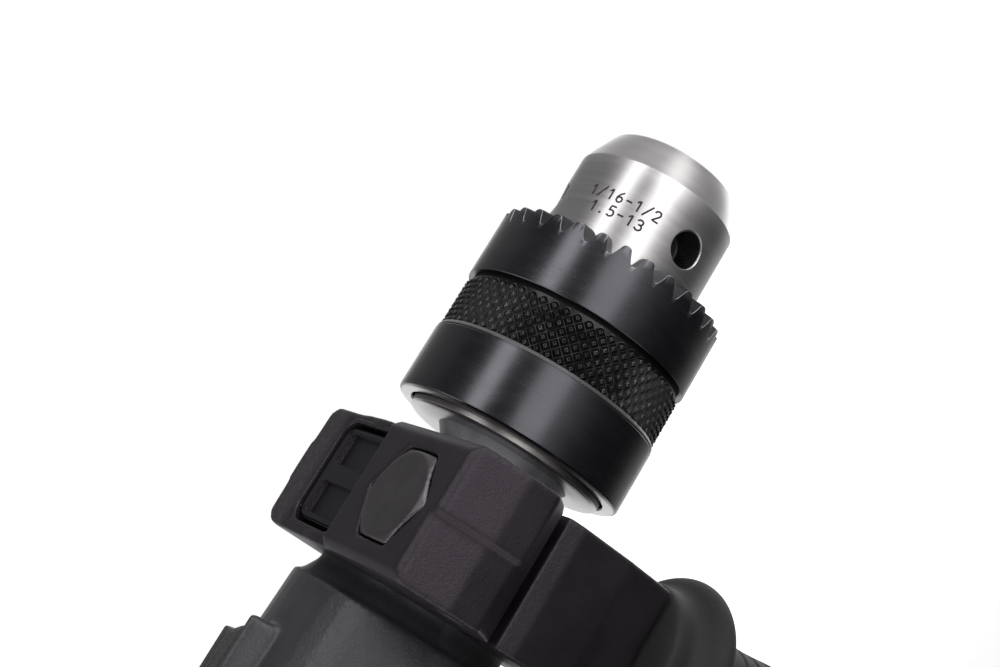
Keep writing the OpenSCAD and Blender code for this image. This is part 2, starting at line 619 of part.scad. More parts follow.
module grip_form(cut) {
    hull() {
        grip_slice(on_grip(-0.2)[0], on_grip(-0.2)[1], grip_depth + 8 - 2 * cut, grip_width - 2 * cut, 15 - cut);
        grip_slice(on_grip(0.3)[0], on_grip(0.3)[1], grip_depth - 2 * cut, grip_width - 2 * cut, 15 - cut);
        grip_slice(on_grip(0.55)[0], on_grip(0.55)[1], grip_depth - 1 - 2 * cut, grip_width + 1 - 2 * cut, 15 - cut);
    }
    hull() {
        grip_slice(on_grip(0.54)[0], on_grip(0.54)[1], grip_depth - 1 - 2 * cut, grip_width + 1 - 2 * cut, 15 - cut);
        grip_slice(on_grip(0.86)[0], on_grip(0.86)[1], grip_depth + 2 - 2 * cut, grip_width - 2 * cut, 15 - cut);
        grip_slice(on_grip(1)[0], on_grip(1)[1] + cut, grip_depth + 4 - 2 * cut, grip_width + 1 - 2 * cut, 15 - cut);
    }
}

screw_places = [[-joint_x - 14, 15], [stator_x + 30, 9], [rear_bearing_x - 2, 1],
    [grip_top[0] - 18, grip_top[1] - 4], [-166, -110], [-193, -118], [-172, -160], [-200, -160]];
screw_seat = 9;

// Ribs inside the grip: they hold the switch from both sides and from below, and the capacitor between two shelves
module grip_ribs() for (s = [-1, 1]) {
    for (x = [switch_front - 6, switch_front - switch_len + 4]) translate([x - 1, s * (11.5 + seat_gap + 5) - 5,
        trigger_top - 30]) cube([2, 10, 32]);
    translate([switch_front - switch_len, s * 11 - 5, trigger_top - 32.1]) cube([switch_len - 3, 10, 2]);
    for (z = [capacitor_z - 2.1, capacitor_z + 17.1]) translate([-190, s * 11 - 6, z]) cube([22, 12, 2]);
}

module shell_solid() {
    difference() {
        union() {
            barrel_form(0);
            grip_form(0);
        }
        difference() {
            union() {
                difference() {
                    barrel_form(shell_wall);
                    // Webs that hold the stator and the rear bearing
                    translate([stator_x - 1, -big / 2, -big / 2]) cube([3, big, big]);
                    translate([stator_x + stator_len - 2, -big / 2, -big / 2]) cube([3, big, big]);
                    translate([rear_bearing_x - 7, -big / 2, -big / 2]) cube([8, big, big]);
                }
                difference() {
                    grip_form(shell_wall);
                    grip_ribs();
                }
            }
            for (p = screw_places) translate([p[0], 0, p[1]]) rotate([90, 0, 0])
                cylinder(r = 3.9, h = big, center = true, $fn = 32);
        }
    }
}

module shell_cuts() {
    along_motor(stator_x - 2) cylinder(r = stator_r + seat_gap, h = stator_len + 4);
    translate([0, 0, motor_z]) translate([stator_x + stator_len - 3, -24.6, -25]) cube([6, 49.2, 50]);
    translate([0, 0, motor_z]) translate([stator_x - 6, -24.6, -25]) cube([9, 49.2, 50]);
    along_motor(rear_bearing_x - 6) cylinder(r = 9.5 + seat_gap / 2, h = 20);
    along_motor(rear_bearing_x - 12) cylinder(r = 5, h = 20);
    // Opening for the trigger and the one for the reverse lever
    translate([trigger_front - trigger_depth - 12, -trigger_w / 2 - free_gap, trigger_top - trigger_h - free_gap])
        cube([50, trigger_w + 2 * free_gap, trigger_h + 2 * free_gap]);
    translate([lever_pivot_x + 5, -9, lever_z - 0.4]) cube([45, 18, 6]);
    // Lock-on button
    translate([lock_at[0], 0, lock_at[1]]) rotate([-90, 0, 0]) cylinder(r = lock_r + free_gap, h = 60);
    // Air slots beside the fan and at the rear end
    for (s = [-1, 1]) for (k = [0:fan_vents - 1]) translate([fan_x - 2, s * 30, motor_z - 14 + k * 7])
        cube([16, 30, vent_w], center = true);
    for (s = [-1, 1]) for (k = [0:rear_vents - 1]) translate([barrel_end + 24 + k * 0, s * 30, motor_z - 17 + k * 6.4])
        cube([20, 30, vent_w], center = true);
    // Cord inlet
    translate([grip_end[0], 0, grip_end[1] - 1]) cylinder(r = 8, h = 10);
}

module screw_holes() for (p = screw_places) translate([p[0], 0, p[1]]) rotate([90, 0, 0]) {
    translate([0, 0, -13]) cylinder(r = 1.55, h = 40);
    translate([0, 0, screw_seat]) cylinder(r = 3.2, h = 60);
}

module left_housing() color([0.12, 0.12, 0.13]) tool() difference() {
    union() {
        intersection() {
            shell_solid();
            translate([-300, 0, -300]) cube([300, 100, 400]);
        }
        // Bosses that the cord clamp is screwed to
        for (s = [-1, 1]) translate([grip_end[0] + s * 7.6, 0, clamp_z]) rotate([-90, 0, 0])
            cylinder(r = 3, h = grip_width / 2 - 1);
    }
    shell_cuts();
    screw_holes();
    for (s = [-1, 1]) translate([grip_end[0] + s * 7.6, -1, clamp_z]) rotate([-90, 0, 0])
        cylinder(r = 1.4 + seat_gap / 2, h = 9);
}

module right_housing() color([0.12, 0.12, 0.13]) tool() difference() {
    intersection() {
        shell_solid();
        translate([-300, -100, -300]) cube([300, 100, 400]);
    }
    shell_cuts();
    screw_holes();
}

module housing_screws() color("silver") tool() for (p = screw_places) translate([p[0], 0, p[1]])
    rotate([90, 0, 0]) difference() {
        union() {
            translate([0, 0, -12]) cylinder(r = 1.5, h = 12 + screw_seat);
            translate([0, 0, screw_seat]) cylinder(r = 3, h = 2.2);
        }
        translate([0, 0, screw_seat + 1]) cylinder(r = 1.3, h = 4, $fn = 6);
    }

// Soft grip skin on the back of the handle
module rubber_grip() color([0.05, 0.05, 0.05]) tool() difference() {
    intersection() {
        grip_form(-1.4);
        translate([-300, -50, -158]) cube([300 + grip_x, 100, 94]);
    }
    grip_form(0.0);
    barrel_form(-0.05);
}

// Switch and controls

module switch_body() color([0.15, 0.15, 0.16]) tool() difference() {
    translate([switch_front - switch_len, -11.5, trigger_top - 30]) cube([switch_len, 23, 32]);
    translate([switch_front - 12, 0, trigger_top - 14]) rotate([0, 90, 0]) cylinder(r = 3 + free_gap, h = 13);
    translate([lever_pivot_x, 0, trigger_top - 2]) cylinder(r = 3 + run_gap, h = 30);
    translate([lock_at[0], 8.5, lock_at[1]]) rotate([-90, 0, 0]) cylinder(r = lock_r + free_gap, h = 30);
}

module noise_capacitor() color("goldenrod") tool()
    translate([-186, -8, capacitor_z]) cube([14, 16, 17]);

// Trigger: a curved finger piece with a stem that runs into the switch
module trigger() color([0.1, 0.1, 0.1]) tool() difference() {
    union() {
        translate([0, trigger_w / 2, 0]) rotate([90, 0, 0]) linear_extrude(height = trigger_w) difference() {
            translate([trigger_front - trigger_depth, trigger_top - trigger_h]) square([trigger_depth, trigger_h]);
            translate([trigger_front + 26, trigger_top - trigger_h * 0.55]) circle(r = 29, $fn = 96);
        }
        translate([trigger_front - trigger_depth - trigger_travel - 4, 0, trigger_top - 14]) rotate([0, 90, 0])
            cylinder(r = 3, h = trigger_travel + 4 + eps);
    }
    translate([wheel_at[0], 0, wheel_at[1] - 2.6 - free_gap]) difference() {
        cylinder(r = wheel_r + free_gap, h = 5.2 + 2 * free_gap);
        translate([0, 0, -1]) cylinder(r = 1.5, h = 8);
    }
}

module speed_wheel() color([0.2, 0.2, 0.2]) tool()
    translate([wheel_at[0], 0, wheel_at[1] - 2.6]) difference() {
        cylinder(r = wheel_r, h = 5.2);
        translate([0, 0, -1]) cylinder(r = 1.5 + run_gap, h = 8);
        for (k = [0:17]) rotate(k * 20) translate([wheel_r + 0.25, 0, -1]) cylinder(r = 0.6, h = 8, $fn = 16);
    }

module lock_button() color([0.1, 0.1, 0.1]) tool()
    translate([lock_at[0], 12.2, lock_at[1]]) rotate([-90, 0, 0]) {
        cylinder(r = lock_r, h = grip_width / 2 - 12.2 + 2.4);
        translate([0, 0, grip_width / 2 - 12.2 + 2.4]) cylinder(r1 = lock_r, r2 = lock_r - 0.8, h = 0.8);
    }

// Reverse lever: pivots on the switch and comes out above the trigger
module reverse_lever() color([0.1, 0.1, 0.1]) tool() {
    translate([lever_pivot_x, 0, lever_z]) cylinder(r = 5, h = 4);
    translate([lever_pivot_x, 0, trigger_top - 1.6]) cylinder(r = 3, h = 5);
    translate([lever_pivot_x, -3, lever_z]) cube([30, 6, 3.4]);
    translate([lever_pivot_x + 36, 0, lever_z]) linear_extrude(height = 4.6)
        polygon([[-9, -3], [3, -4], [3, 4], [-9, 3]]);
}

module cord_gland() color([0.08, 0.08, 0.08]) tool()
    translate([grip_end[0], 0, grip_end[1] + 0.2]) difference() {
        union() {
            cylinder(r = 8 - seat_gap, h = 12);
            translate([0, 0, shell_wall + 0.2]) cylinder(r = 9.5, h = 2);
        }
        translate([0, 0, -1]) cylinder(r = 4.1, h = 20);
    }

// Bar and two screws that grip the cord inside the handle
module cord_clamp() color("gray") tool() {
    difference() {
        translate([grip_end[0] - 11, -5.5, clamp_z - 3.5]) cube([22, 5.4, 7]);
        translate([grip_end[0], 1, clamp_z - 4]) cylinder(r = 4, h = 8);
    }
    for (s = [-1, 1]) translate([grip_end[0] + s * 7.6, -5.6, clamp_z]) rotate([90, 0, 0]) {
        translate([0, 0, -13]) cylinder(r = 1.4, h = 13.2);
        cylinder(r = 2.8, h = 2);
    }
}

// Side handle

// The ring's frame: z' along the clamp bolt towards its head, y' away from the bolt
module ring_frame() rotate([ring_roll, 0, 0]) children();

// Extrudes an outline given in y' and z' along the spindle, from x1 to x2
module along_ring(x1, x2) translate([x1, 0, 0]) rotate([90, 0, 90]) linear_extrude(height = x2 - x1) children();

// Outline of the boss and of the depth rod's guide beside it, in y' and z'; d draws the guide smaller
function boss_outline(d) = [[boss_left, boss_top], [guide_right + 5.8 + d, boss_top],
    [guide_right + 4.5 + d, boss_top - 1], [guide_right + 0.8 + d, boss_top - 11], [guide_right + d, 14.2],
    [guide_right + 5.4 + d, 9], [guide_right + 12, ear_edge], [-20, ear_edge], [boss_left, 8]];

module clamp_ring() color([0.09, 0.09, 0.1]) tool() ring_frame() difference() {
    union() {
        along_x(ring_rear) cylinder(r = ring_r, h = ring_w);
        // Label block with two sunk windows, drafted both ways from its parting line
        translate([0, 0, 5]) linear_extrude(height = block_top - 5) polygon([
            [-ring_front - 0.3, 11], [-ring_front - 0.3, 21.4], [-ring_front - 1.9, 23.2], [ring_mid, 24.2],
            [ring_rear + 1.7, 23.1], [ring_rear, 21.4], [ring_rear, 11], [ring_rear, boss_left - 2],
            [-ring_front, boss_left - 2]]);
        // Boss with the pocket for the bolt's head and the guide for the depth rod, chamfered at front and rear.
        // Behind the parting line the guide is a little smaller.
        intersection() {
            translate([0, boss_left, 0]) rotate([90, 0, 0]) linear_extrude(height = boss_left - guide_right + 1)
                polygon([[-ring_front, 0], [-ring_front, boss_top - 1.6], [-ring_front - 1.9, boss_top],
                    [ring_rear + 1.9, boss_top], [ring_rear, boss_top - 1.6], [ring_rear, 0]]);
            union() {
                along_ring(ring_mid, -ring_front) polygon(boss_outline(0));
                along_ring(ring_rear, ring_mid + eps) polygon(boss_outline(1.3));
            }
        }
        // Second ear, which the side grip pulls up
        along_ring(ring_rear, -ring_front) polygon([[-20, ear_edge], [-35.5, ear_edge], [-37.2, ear_edge - 6],
            [-37.2, ear_end + 14], [-35.4, ear_end + 1], [-34.6, ear_end], [-9, ear_end], [0, 0]]);
    }
    along_x(ring_rear - 1) cylinder(r = ring_bore_r, h = ring_w + 2);
    // The slit between the ears
    translate([ring_rear - 1, -60, ear_edge - ear_gap]) cube([ring_w + 2, 60, ear_gap]);
    // Hexagonal pocket and bolt hole
    translate([ring_mid, -bolt_offset, boss_top - head_depth]) rotate([0, 0, 30])
        cylinder(r = (head_af / 2 + 0.25) / cos(30), h = 20, $fn = 6);
    translate([ring_mid, -bolt_offset, -60]) cylinder(r = bolt_d / 2 + run_gap, h = 100);
    // Depth rod hole
    translate([ring_rear - 1, rod_at[0], rod_at[1]]) rotate([0, 90, 0]) cylinder(d = rod_hole_d, h = ring_w + 2);
    // Sunk panel and windows of the label block
    translate([ring_rear + 2.6, boss_left, block_top - 0.7]) cube([ring_w - 4.9, 13.2 - boss_left, 5]);
    for (x = [-21.2, -32.6]) translate([x, -5.4, block_top - 1.9]) cube([7.3, 15.2, 5]);
}

module clamp_bolt() color([0.1, 0.1, 0.1]) tool() ring_frame() translate([ring_mid, -bolt_offset, 0]) {
    translate([0, 0, boss_top - head_depth + seat_gap]) intersection() {
        rotate([0, 0, 30]) cylinder(r = head_af / 2 / cos(30), h = head_len, $fn = 6);
        rotate_extrude() polygon([[0, 0], [20, 0], [20, head_len - 6.2], [head_af / 2 - 0.5, head_len], [0, head_len]]);
    }
    translate([0, 0, grip_start - 30]) cylinder(d = bolt_d, h = boss_top - head_depth - grip_start + 30.2);
}

// Side grip: flange, waisted handle and end knob, all turned round the bolt
module side_grip() color([0.08, 0.08, 0.08]) tool() ring_frame() translate([ring_mid, -bolt_offset, grip_start])
    mirror([0, 0, 1]) difference() {
        rotate_extrude() union() {
            square([side_grip_d / 2 - 3, side_grip_len - 12]);
            polygon([[0, 0], [15, 0], [16, 1.5], [16, 6], [flange_r, 9], [flange_r, 12.5], [side_grip_d / 2 - 2, 16],
                [side_grip_d / 2 - 3, 26], [side_grip_d / 2, side_grip_len * 0.5],
                [side_grip_d / 2 - 2.5, side_grip_len * 0.8], [side_grip_d / 2 + 1.5, side_grip_len - 14],
                [side_grip_d / 2 + 1.5, side_grip_len - 7], [side_grip_d / 2 - 4, side_grip_len], [0, side_grip_len]]);
        }
        translate([0, 0, -1]) cylinder(r = 6.5, h = 41);
    }

// Threaded steel insert moulded into the side grip
module grip_insert() color("silver") tool() ring_frame() translate([ring_mid, -bolt_offset, grip_start])
    mirror([0, 0, 1]) translate([0, 0, 0.2]) ring(6.5, bolt_d / 2 + run_gap, 38);

chuck_body();
chuck_sleeve();
jaw_nut();
jaw_1();
jaw_2();
jaw_3();
chuck_screw();
spindle();
output_gear();
moving_ratchet();
spindle_circlip();
thrust_washer();
impact_spring();
fixed_ratchet();
front_bearing();
front_seal();
spindle_bush();
gear_housing();
gear_housing_screws();
bearing_bracket();
mode_knob();
mode_shift_bar();
armature_shaft();
armature_core();
armature_windings();
commutator();
cooling_fan();
armature_front_bearing();
armature_rear_bearing();
stator_core();
field_coils();
air_baffle();
brush_holders();
carbon_brushes();
brush_springs();
left_housing();
right_housing();
housing_screws();
rubber_grip();
switch_body();
noise_capacitor();
trigger();
speed_wheel();
lock_button();
reverse_lever();
cord_gland();
cord_clamp();
clamp_ring();
clamp_bolt();
side_grip();
grip_insert();
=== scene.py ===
import json, math
import bpy
import numpy as np
from mathutils import Matrix, Vector


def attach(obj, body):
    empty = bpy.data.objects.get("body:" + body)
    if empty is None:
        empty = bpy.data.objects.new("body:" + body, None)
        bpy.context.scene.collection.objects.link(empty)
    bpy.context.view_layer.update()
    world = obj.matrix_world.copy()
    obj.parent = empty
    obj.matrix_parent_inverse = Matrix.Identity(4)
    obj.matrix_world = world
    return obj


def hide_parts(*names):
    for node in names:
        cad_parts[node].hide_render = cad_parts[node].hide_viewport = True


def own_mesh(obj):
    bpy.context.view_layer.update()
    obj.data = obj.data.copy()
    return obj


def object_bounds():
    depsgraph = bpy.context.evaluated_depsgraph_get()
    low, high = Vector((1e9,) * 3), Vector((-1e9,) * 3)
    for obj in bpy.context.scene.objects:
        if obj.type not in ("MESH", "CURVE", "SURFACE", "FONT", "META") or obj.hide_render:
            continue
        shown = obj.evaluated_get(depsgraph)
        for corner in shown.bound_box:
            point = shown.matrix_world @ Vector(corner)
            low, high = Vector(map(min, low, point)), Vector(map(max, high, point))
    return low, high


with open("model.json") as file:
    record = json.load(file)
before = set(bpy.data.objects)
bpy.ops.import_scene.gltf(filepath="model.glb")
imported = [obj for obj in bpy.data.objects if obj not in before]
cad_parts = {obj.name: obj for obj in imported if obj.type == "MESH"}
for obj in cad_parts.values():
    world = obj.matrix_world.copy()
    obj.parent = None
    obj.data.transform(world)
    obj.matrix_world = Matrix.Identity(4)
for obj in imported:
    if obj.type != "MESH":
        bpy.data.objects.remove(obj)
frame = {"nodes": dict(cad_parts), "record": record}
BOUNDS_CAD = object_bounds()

# The drill's own axes, in millimetres: x = 0 is the chuck's rear face, +x the nose, y and z as in the frame.
# Lengths there become metres in the frame by adding ORIGIN and dividing by 1000.
ORIGIN = np.array([178.0, 0.0, 114.0])
NODES = frame["nodes"]
SLOTS = {part["node"]: part["material_slot"] for part in frame["record"]["subparts"]}


def to_frame(p):
    """Millimetres in the drill's axes to metres in the frame: (p + ORIGIN) / 1000."""
    return (np.asarray(p, float) + ORIGIN) / 1000.0


def from_frame(p):
    """Metres in the frame to millimetres in the drill's axes: 1000 p - ORIGIN."""
    return np.asarray(p, float) * 1000.0 - ORIGIN


def points_of(me):
    """A mesh's vertices, in the drill's axes."""
    q = np.empty(len(me.vertices) * 3, np.float32)
    me.vertices.foreach_get("co", q)
    return from_frame(q.reshape(-1, 3))


def set_points(me, q):
    me.vertices.foreach_set("co", to_frame(q).astype(np.float32).ravel())
    me.update()


def centres_of(me):
    """The middles of a mesh's faces, in the drill's axes."""
    c = np.empty(len(me.polygons) * 3, np.float32)
    me.polygons.foreach_get("center", c)
    return from_frame(c.reshape(-1, 3))


def set_kinds(me, kinds):
    """Each face's material, by its number on the mesh."""
    me.polygons.foreach_set("material_index", np.asarray(kinds, np.int32))


def placed(name, data):
    """An object at the scene's origin."""
    o = bpy.data.objects.new(name, data)
    bpy.context.scene.collection.objects.link(o)
    return o


def dressed(me, *materials):
    """The mesh with these materials alone."""
    me.materials.clear()
    for material in materials:
        me.materials.append(material)
    return me


def sharpen(o, degrees):
    """Smooth faces, with an edge wherever two of them meet at more than this angle."""
    o.data.polygons.foreach_set("use_smooth", np.ones(len(o.data.polygons), bool))
    o.data.set_sharp_from_angle(angle=math.radians(degrees))


def mesh_object(name, points, faces, body, materials, replaces=(), sharp=None, kinds=None, flat=None):
    """A piece from points in millimetres and an array of faces, or a list of such arrays. kinds numbers the
    faces' materials, and flat gives each point three values that a material reads."""
    blocks = [faces] if isinstance(faces, np.ndarray) else faces
    me = bpy.data.meshes.new(name)
    me.from_pydata(to_frame(points).reshape(-1, 3).tolist(), [], sum((block.tolist() for block in blocks), []))
    me.update()
    if flat is not None:
        layer = me.attributes.new("flat", "FLOAT_VECTOR", "POINT")
        layer.data.foreach_set("vector", flat.astype(np.float32).ravel())
    dressed(me, *materials)
    if kinds is not None:
        set_kinds(me, kinds)
    o = placed(name, me)
    if sharp is not None:
        sharpen(o, sharp)
    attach(o, body)
    if replaces:
        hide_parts(*replaces)
    return o


# Materials

class Value:
    """A socket that carries a number or a colour: sums, differences and products of it add Math nodes."""

    def __init__(self, tree, socket):
        self.tree, self.socket = tree, socket

    def math(self, operation, *others):
        return self.tree.node("Math", {"operation": operation}, dict(enumerate((self,) + others)))

    def __add__(self, other): return self.math("ADD", other)
    def __mul__(self, other): return self.math("MULTIPLY", other)
    def __sub__(self, other): return self.math("SUBTRACT", other)
    def __rsub__(self, other): return self * -1.0 + other
    __radd__, __rmul__ = __add__, __mul__

    def step(self, low, high):
        """Smooth step from 0 at low to 1 at high."""
        return self.tree.node("MapRange", {"interpolation_type": "SMOOTHSTEP"}, {0: self, 1: low, 2: high})


class Tree:
    """The node tree of a material or a world, emptied, and the one method that adds a node to it."""

    def __init__(self, owner):
        owner.use_nodes = True
        self.owner, self.tree = owner, owner.node_tree
        self.tree.nodes.clear()

    def node(self, kind, settings=None, inputs=None, out=0):
        """A node of this type: its settings come first, then the values or links of its sockets. A ramp's
        stops are pairs of a place from 0 to 1 and a grey level."""
        n = self.tree.nodes.new("ShaderNode" + kind)
        for name, value in (settings or {}).items():
            if name == "stops":
                n.color_ramp.elements.remove(n.color_ramp.elements[1])
                for k, (at, level) in enumerate(value):
                    stop = n.color_ramp.elements.new(at) if k else n.color_ramp.elements[0]
                    stop.position, stop.color = at, (level, level, level, 1.0)
            else:
                setattr(n, name, value)
        for key, value in (inputs or {}).items():
            if isinstance(value, Value):
                self.tree.links.new(value.socket, n.inputs[key])
            else:
                n.inputs[key].default_value = value
        return Value(self, n.outputs[out]) if n.outputs else None

    def xyz(self, vector):
        """A vector's three parts."""
        return [Value(self, s) for s in self.node("SeparateXYZ", None, {0: vector}).socket.node.outputs]

    def mix(self, share, a, b):
        """Colour a where share is 0 and b where it is 1; a and b are links or red, green and blue."""
        a, b = (c if isinstance(c, Value) else (*c, 1.0) for c in (a, b))
        return self.node("Mix", {"data_type": "RGBA"}, {0: share, 6: a, 7: b}, 2)

    def noise(self, vector, scale, detail=3.0, rough=0.55):
        inputs = {"Vector": vector, "Scale": scale, "Detail": detail, "Roughness": rough}
        return self.node("TexNoise", None, inputs, "Fac")

    def ray(self, kind):
        """1 for a ray of this kind, such as Camera, and 0 for any other."""
        return self.node("LightPath", None, None, "Is %s Ray" % kind)


class Finish(Tree):
    """A Principled material whose patterns are nodes in Object coordinates; constants stand on its own
    sockets."""

    def __init__(self, name, **constants):
        super().__init__(bpy.data.materials.new(name))
        self.object = self.node("TexCoord", None, None, "Object")
        inputs = {key.replace("_", " ").title().replace("Ior", "IOR"): (*value, 1.0) if isinstance(value, tuple)
                  else value for key, value in constants.items()}
        self.shader = self.node("BsdfPrincipled", None, inputs)

    def stretched(self, scale):
        """Object coordinates times scale, so that a pattern is long where scale is small."""
        return self.node("Mapping", {"vector_type": "POINT"}, {"Vector": self.object, "Scale": scale})

    def put(self, socket, value):
        self.tree.links.new(value.socket, self.shader.socket.node.inputs[socket])

    def bump(self, height, strength, distance):
        inputs = {"Strength": strength, "Distance": distance, "Height": height}
        self.put("Normal", self.node("Bump", None, inputs))

    def done(self, shader=None):
        """The finished material: it shows the Principled shader, or this one."""
        self.node("OutputMaterial", None, {"Surface": shader or self.shader})
        return self.owner


def toned(base, k):
    """The colour times k."""
    return tuple(min(1.0, c * k) for c in base)


def moulded(name, base, rough=0.5, grain=0.00012, spec=0.5, size=2600.0, vary=0.16, tint=(1.0, 1.0, 1.0)):
    """Moulded plastic: fine spark-eroded grain, with broad changes of tone."""
    m = Finish(name, base_color=base, roughness=rough, specular_ior_level=spec, specular_tint=tint)
    cloud = m.noise(m.object, 60.0)
    fine = m.noise(m.object, size, 2.0, 0.6)
    m.put("Base Color", m.mix(cloud.step(0.3, 0.7), toned(base, 1 - vary), toned(base, 1 + vary)))
    m.put("Roughness", fine * 0.16 + (rough - 0.08) + (cloud - 0.5) * 0.1)
    m.bump(fine + m.noise(m.object, size * 0.4, 2.0) * 0.6, 0.35, grain)
    return m.done()


def metal(name, base, rough=0.3, stretch=(2200.0, 120.0, 120.0)):
    """Turned metal: marks that run round the x axis, drawn as noise that is long across x, and faint spots."""
    m = Finish(name, base_color=base, metallic=1.0, roughness=rough)
    marks = m.noise(m.stretched(stretch), 1.0, 4.0, 0.6)
    spots = m.noise(m.object, 170.0, 4.0, 0.6)
    m.put("Base Color", m.mix(spots.step(0.3, 0.75), toned(base, 0.875), toned(base, 1.125)))
    m.put("Roughness", marks * 0.18 + (rough - 0.09) + (spots - 0.5) * 0.08)
    m.bump(marks, 0.25, 0.00001)
    return m.done()


def brushed_black(name, rough, spec, dark, pale):
    """Black oxide, oiled: marks run round the spindle, and the tone drifts from dark to pale."""
    m = Finish(name, specular_ior_level=spec, specular_tint=(0.93, 0.91, 1.0))
    marks = m.noise(m.stretched((3400.0, 160.0, 160.0)), 1.0, 5.0, 0.7)
    grain = m.noise(m.object, 5200.0, 2.0, 0.6)
    cloud = m.noise(m.stretched((260.0, 90.0, 90.0)), 1.0, 3.0, 0.6)
    m.put("Base Color", m.mix(cloud.step(0.3, 0.7), dark, pale))
    m.put("Roughness", marks * 0.16 + grain * 0.12 + (rough - 0.13) + (cloud - 0.5) * 0.12)
    m.bump(marks + grain * 0.8, 0.2, 0.00002)
    return m.done()


def brushed_bright(name, low, high):
    """Polished steel with fine marks round the spindle and a faint warm smear."""
    m = Finish(name, metallic=1.0)
    marks = m.noise(m.stretched((3200.0, 50.0, 50.0)), 1.0, 5.0, 0.6)
    coarse = m.noise(m.stretched((700.0, 20.0, 20.0)), 1.0, 3.0, 0.5)
    smear = m.noise(m.object, 90.0, 3.0, 0.6)
    tone = smear.step(0.35, 0.75) * 0.5 + marks.step(0.3, 0.7) * 0.3 + coarse.step(0.3, 0.7) * 0.2
    m.put("Base Color", m.mix(tone, low, high))
    m.put("Roughness", marks * 0.16 + 0.235 + (coarse - 0.5) * 0.08)
    m.bump(marks * 0.7 + coarse * 0.5, 0.16, 0.00002)
    return m.done()


def dull_neck():
    """Turned neck, dull grey, with soft streaks that run along the spindle."""
    m = Finish("dull neck", roughness=0.5, metallic=0.35, specular_ior_level=0.5)
    streaks = m.noise(m.stretched((8.0, 85.0, 85.0)), 1.0, 2.0, 0.5)
    m.put("Base Color", m.mix(streaks.step(0.32, 0.68), (0.22, 0.215, 0.23), (0.52, 0.51, 0.54)))
    return m.done()


def knurl_black():
    """The third value of "flat" is 0.5 along the grooves and 0 on a pyramid's top: a highlight is painted pale
    along the grooves and on the small craters on the tops, in patches, and the flanks stay black."""
    m = Finish("knurl black", specular_ior_level=0.29, roughness=0.3, specular_tint=(0.95, 0.96, 1.0))
    place = m.xyz(m.node("Attribute", {"attribute_name": "flat"}, None, "Vector"))[2]
    glint_patches = m.noise(m.object, 420.0, 3.0, 0.6)
    # Painted highlight: the grooves' lines and the tops' craters are painted pale, in patches, in place of the
    # light they catch.
    line = place.step(0.425, 0.485) * (1 - place.step(0.52, 0.58))
    crater = place.step(0.09, 0.12) * (1 - place.step(0.155, 0.2)) + (1 - place.step(0.02, 0.06)) * 0.6
    pale = m.mix(glint_patches.step(0.35, 0.7), (0.02, 0.019, 0.02), (0.13, 0.124, 0.126))
    m.put("Base Color", m.mix((line * 0.55 + crater).math("MINIMUM", 1.0), (0.0016, 0.0016, 0.0019), pale))
    m.put("Roughness", line * 0.1 + 0.27)
    return m.done()


MATS = {
    "sleeve_black": metal("sleeve black", (0.10, 0.104, 0.116), 0.34),
    "chuck_steel": metal("chuck steel", (0.62, 0.61, 0.60), 0.27),
    "steel": metal("machined steel", (0.52, 0.52, 0.53), 0.3),
    "dark_steel": metal("black oxide steel", (0.09, 0.09, 0.095), 0.38),
    "spring_steel": metal("spring steel", (0.42, 0.42, 0.43), 0.3),
    "cast_black": moulded("painted casting", (0.035, 0.036, 0.038), 0.42, 0.0002, 0.5, 1500.0),
    "housing_plastic": moulded("housing plastic", (0.042, 0.043, 0.046), 0.5),
    "clamp_plastic": moulded("clamp plastic", (0.03, 0.031, 0.034), 0.42),
    "black_plastic": moulded("black plastic", (0.022, 0.022, 0.024), 0.46),
    "soft_grip": moulded("soft grip", (0.02, 0.02, 0.021), 0.72, 0.0002, 0.35, 1800.0),
    "bearing_steel": metal("bearing steel", (0.66, 0.66, 0.68), 0.18),
    "bronze": metal("sintered bronze", (0.5, 0.3, 0.14), 0.45),
    "copper": metal("copper bars", (0.72, 0.32, 0.16), 0.32),
    "winding": moulded("varnished wire", (0.34, 0.07, 0.025), 0.25, 0.0003, 0.6, 900.0),
    "lamination": metal("laminations", (0.28, 0.29, 0.31), 0.4),
    "brass": metal("brass", (0.7, 0.5, 0.2), 0.3),
    "carbon": moulded("carbon", (0.012, 0.012, 0.012), 0.55),
    "mustard": moulded("dipped capacitor", (0.55, 0.34, 0.05), 0.3, 0.0002, 0.5, 600.0),
}
for node, slot in SLOTS.items():
    dressed(NODES[node].data, MATS[slot])
    sharpen(NODES[node], 32)

# Turned and knurled surfaces of the chuck
# phi is the angle round the spindle in degrees: 0 is -Y, 90 is -Z. Radii and x are in millimetres.

SLEEVE_R = 26.5
NOSE_R = 18.63
TOOTH_PITCH = 12.0      # degrees from one bevel tooth to the next
TOOTH_FOOT = 41.1       # x of the teeth's roots on the outside
FRONT_BAND = 36.0       # x from which the sleeve's rows lean towards the teeth's edge
KNURLS = 60             # pyramids round the knurled band
CELL_COLS = 12          # columns of the sleeve's grid to a pyramid
KNURL_X = 26.46         # x of the middle of the knurl's front row
KNURL_STEP = 1.375      # half a pyramid's length along the spindle
HOLE_X = 53.85          # x of the pilot holes
HOLE_ROLLS = (35, 155, 275)
BLACK, KNURL, TOOTH, EDGE, STRIP, GROOVE = range(6)     # the sleeve's materials
NOSE, HOLE, NECK, RIM, DISC = range(5)                  # the nose's materials


def revolved(x, r, phi):
    """Points (x, -r cos(phi), -r sin(phi)) for arrays that broadcast to rows by columns."""
    x, r, phi = np.broadcast_arrays(*[np.asarray(a, float) for a in (x, r, phi)])
    p = np.radians(phi)
    return np.stack([x, -r * np.cos(p), -r * np.sin(p)], -1)


def grid_faces(rows, cols, wrap=True):
    """Quads of a grid whose columns run round. They face outwards where the rows go from the rear inside,
    over the outside, to the front inside."""
    i, j = np.meshgrid(np.arange(rows - 1), np.arange(cols if wrap else cols - 1), indexing="ij")
    k = (j + 1) % cols
    return np.stack([i * cols + j, i * cols + k, (i + 1) * cols + k, (i + 1) * cols + j], -1).reshape(-1, 4)


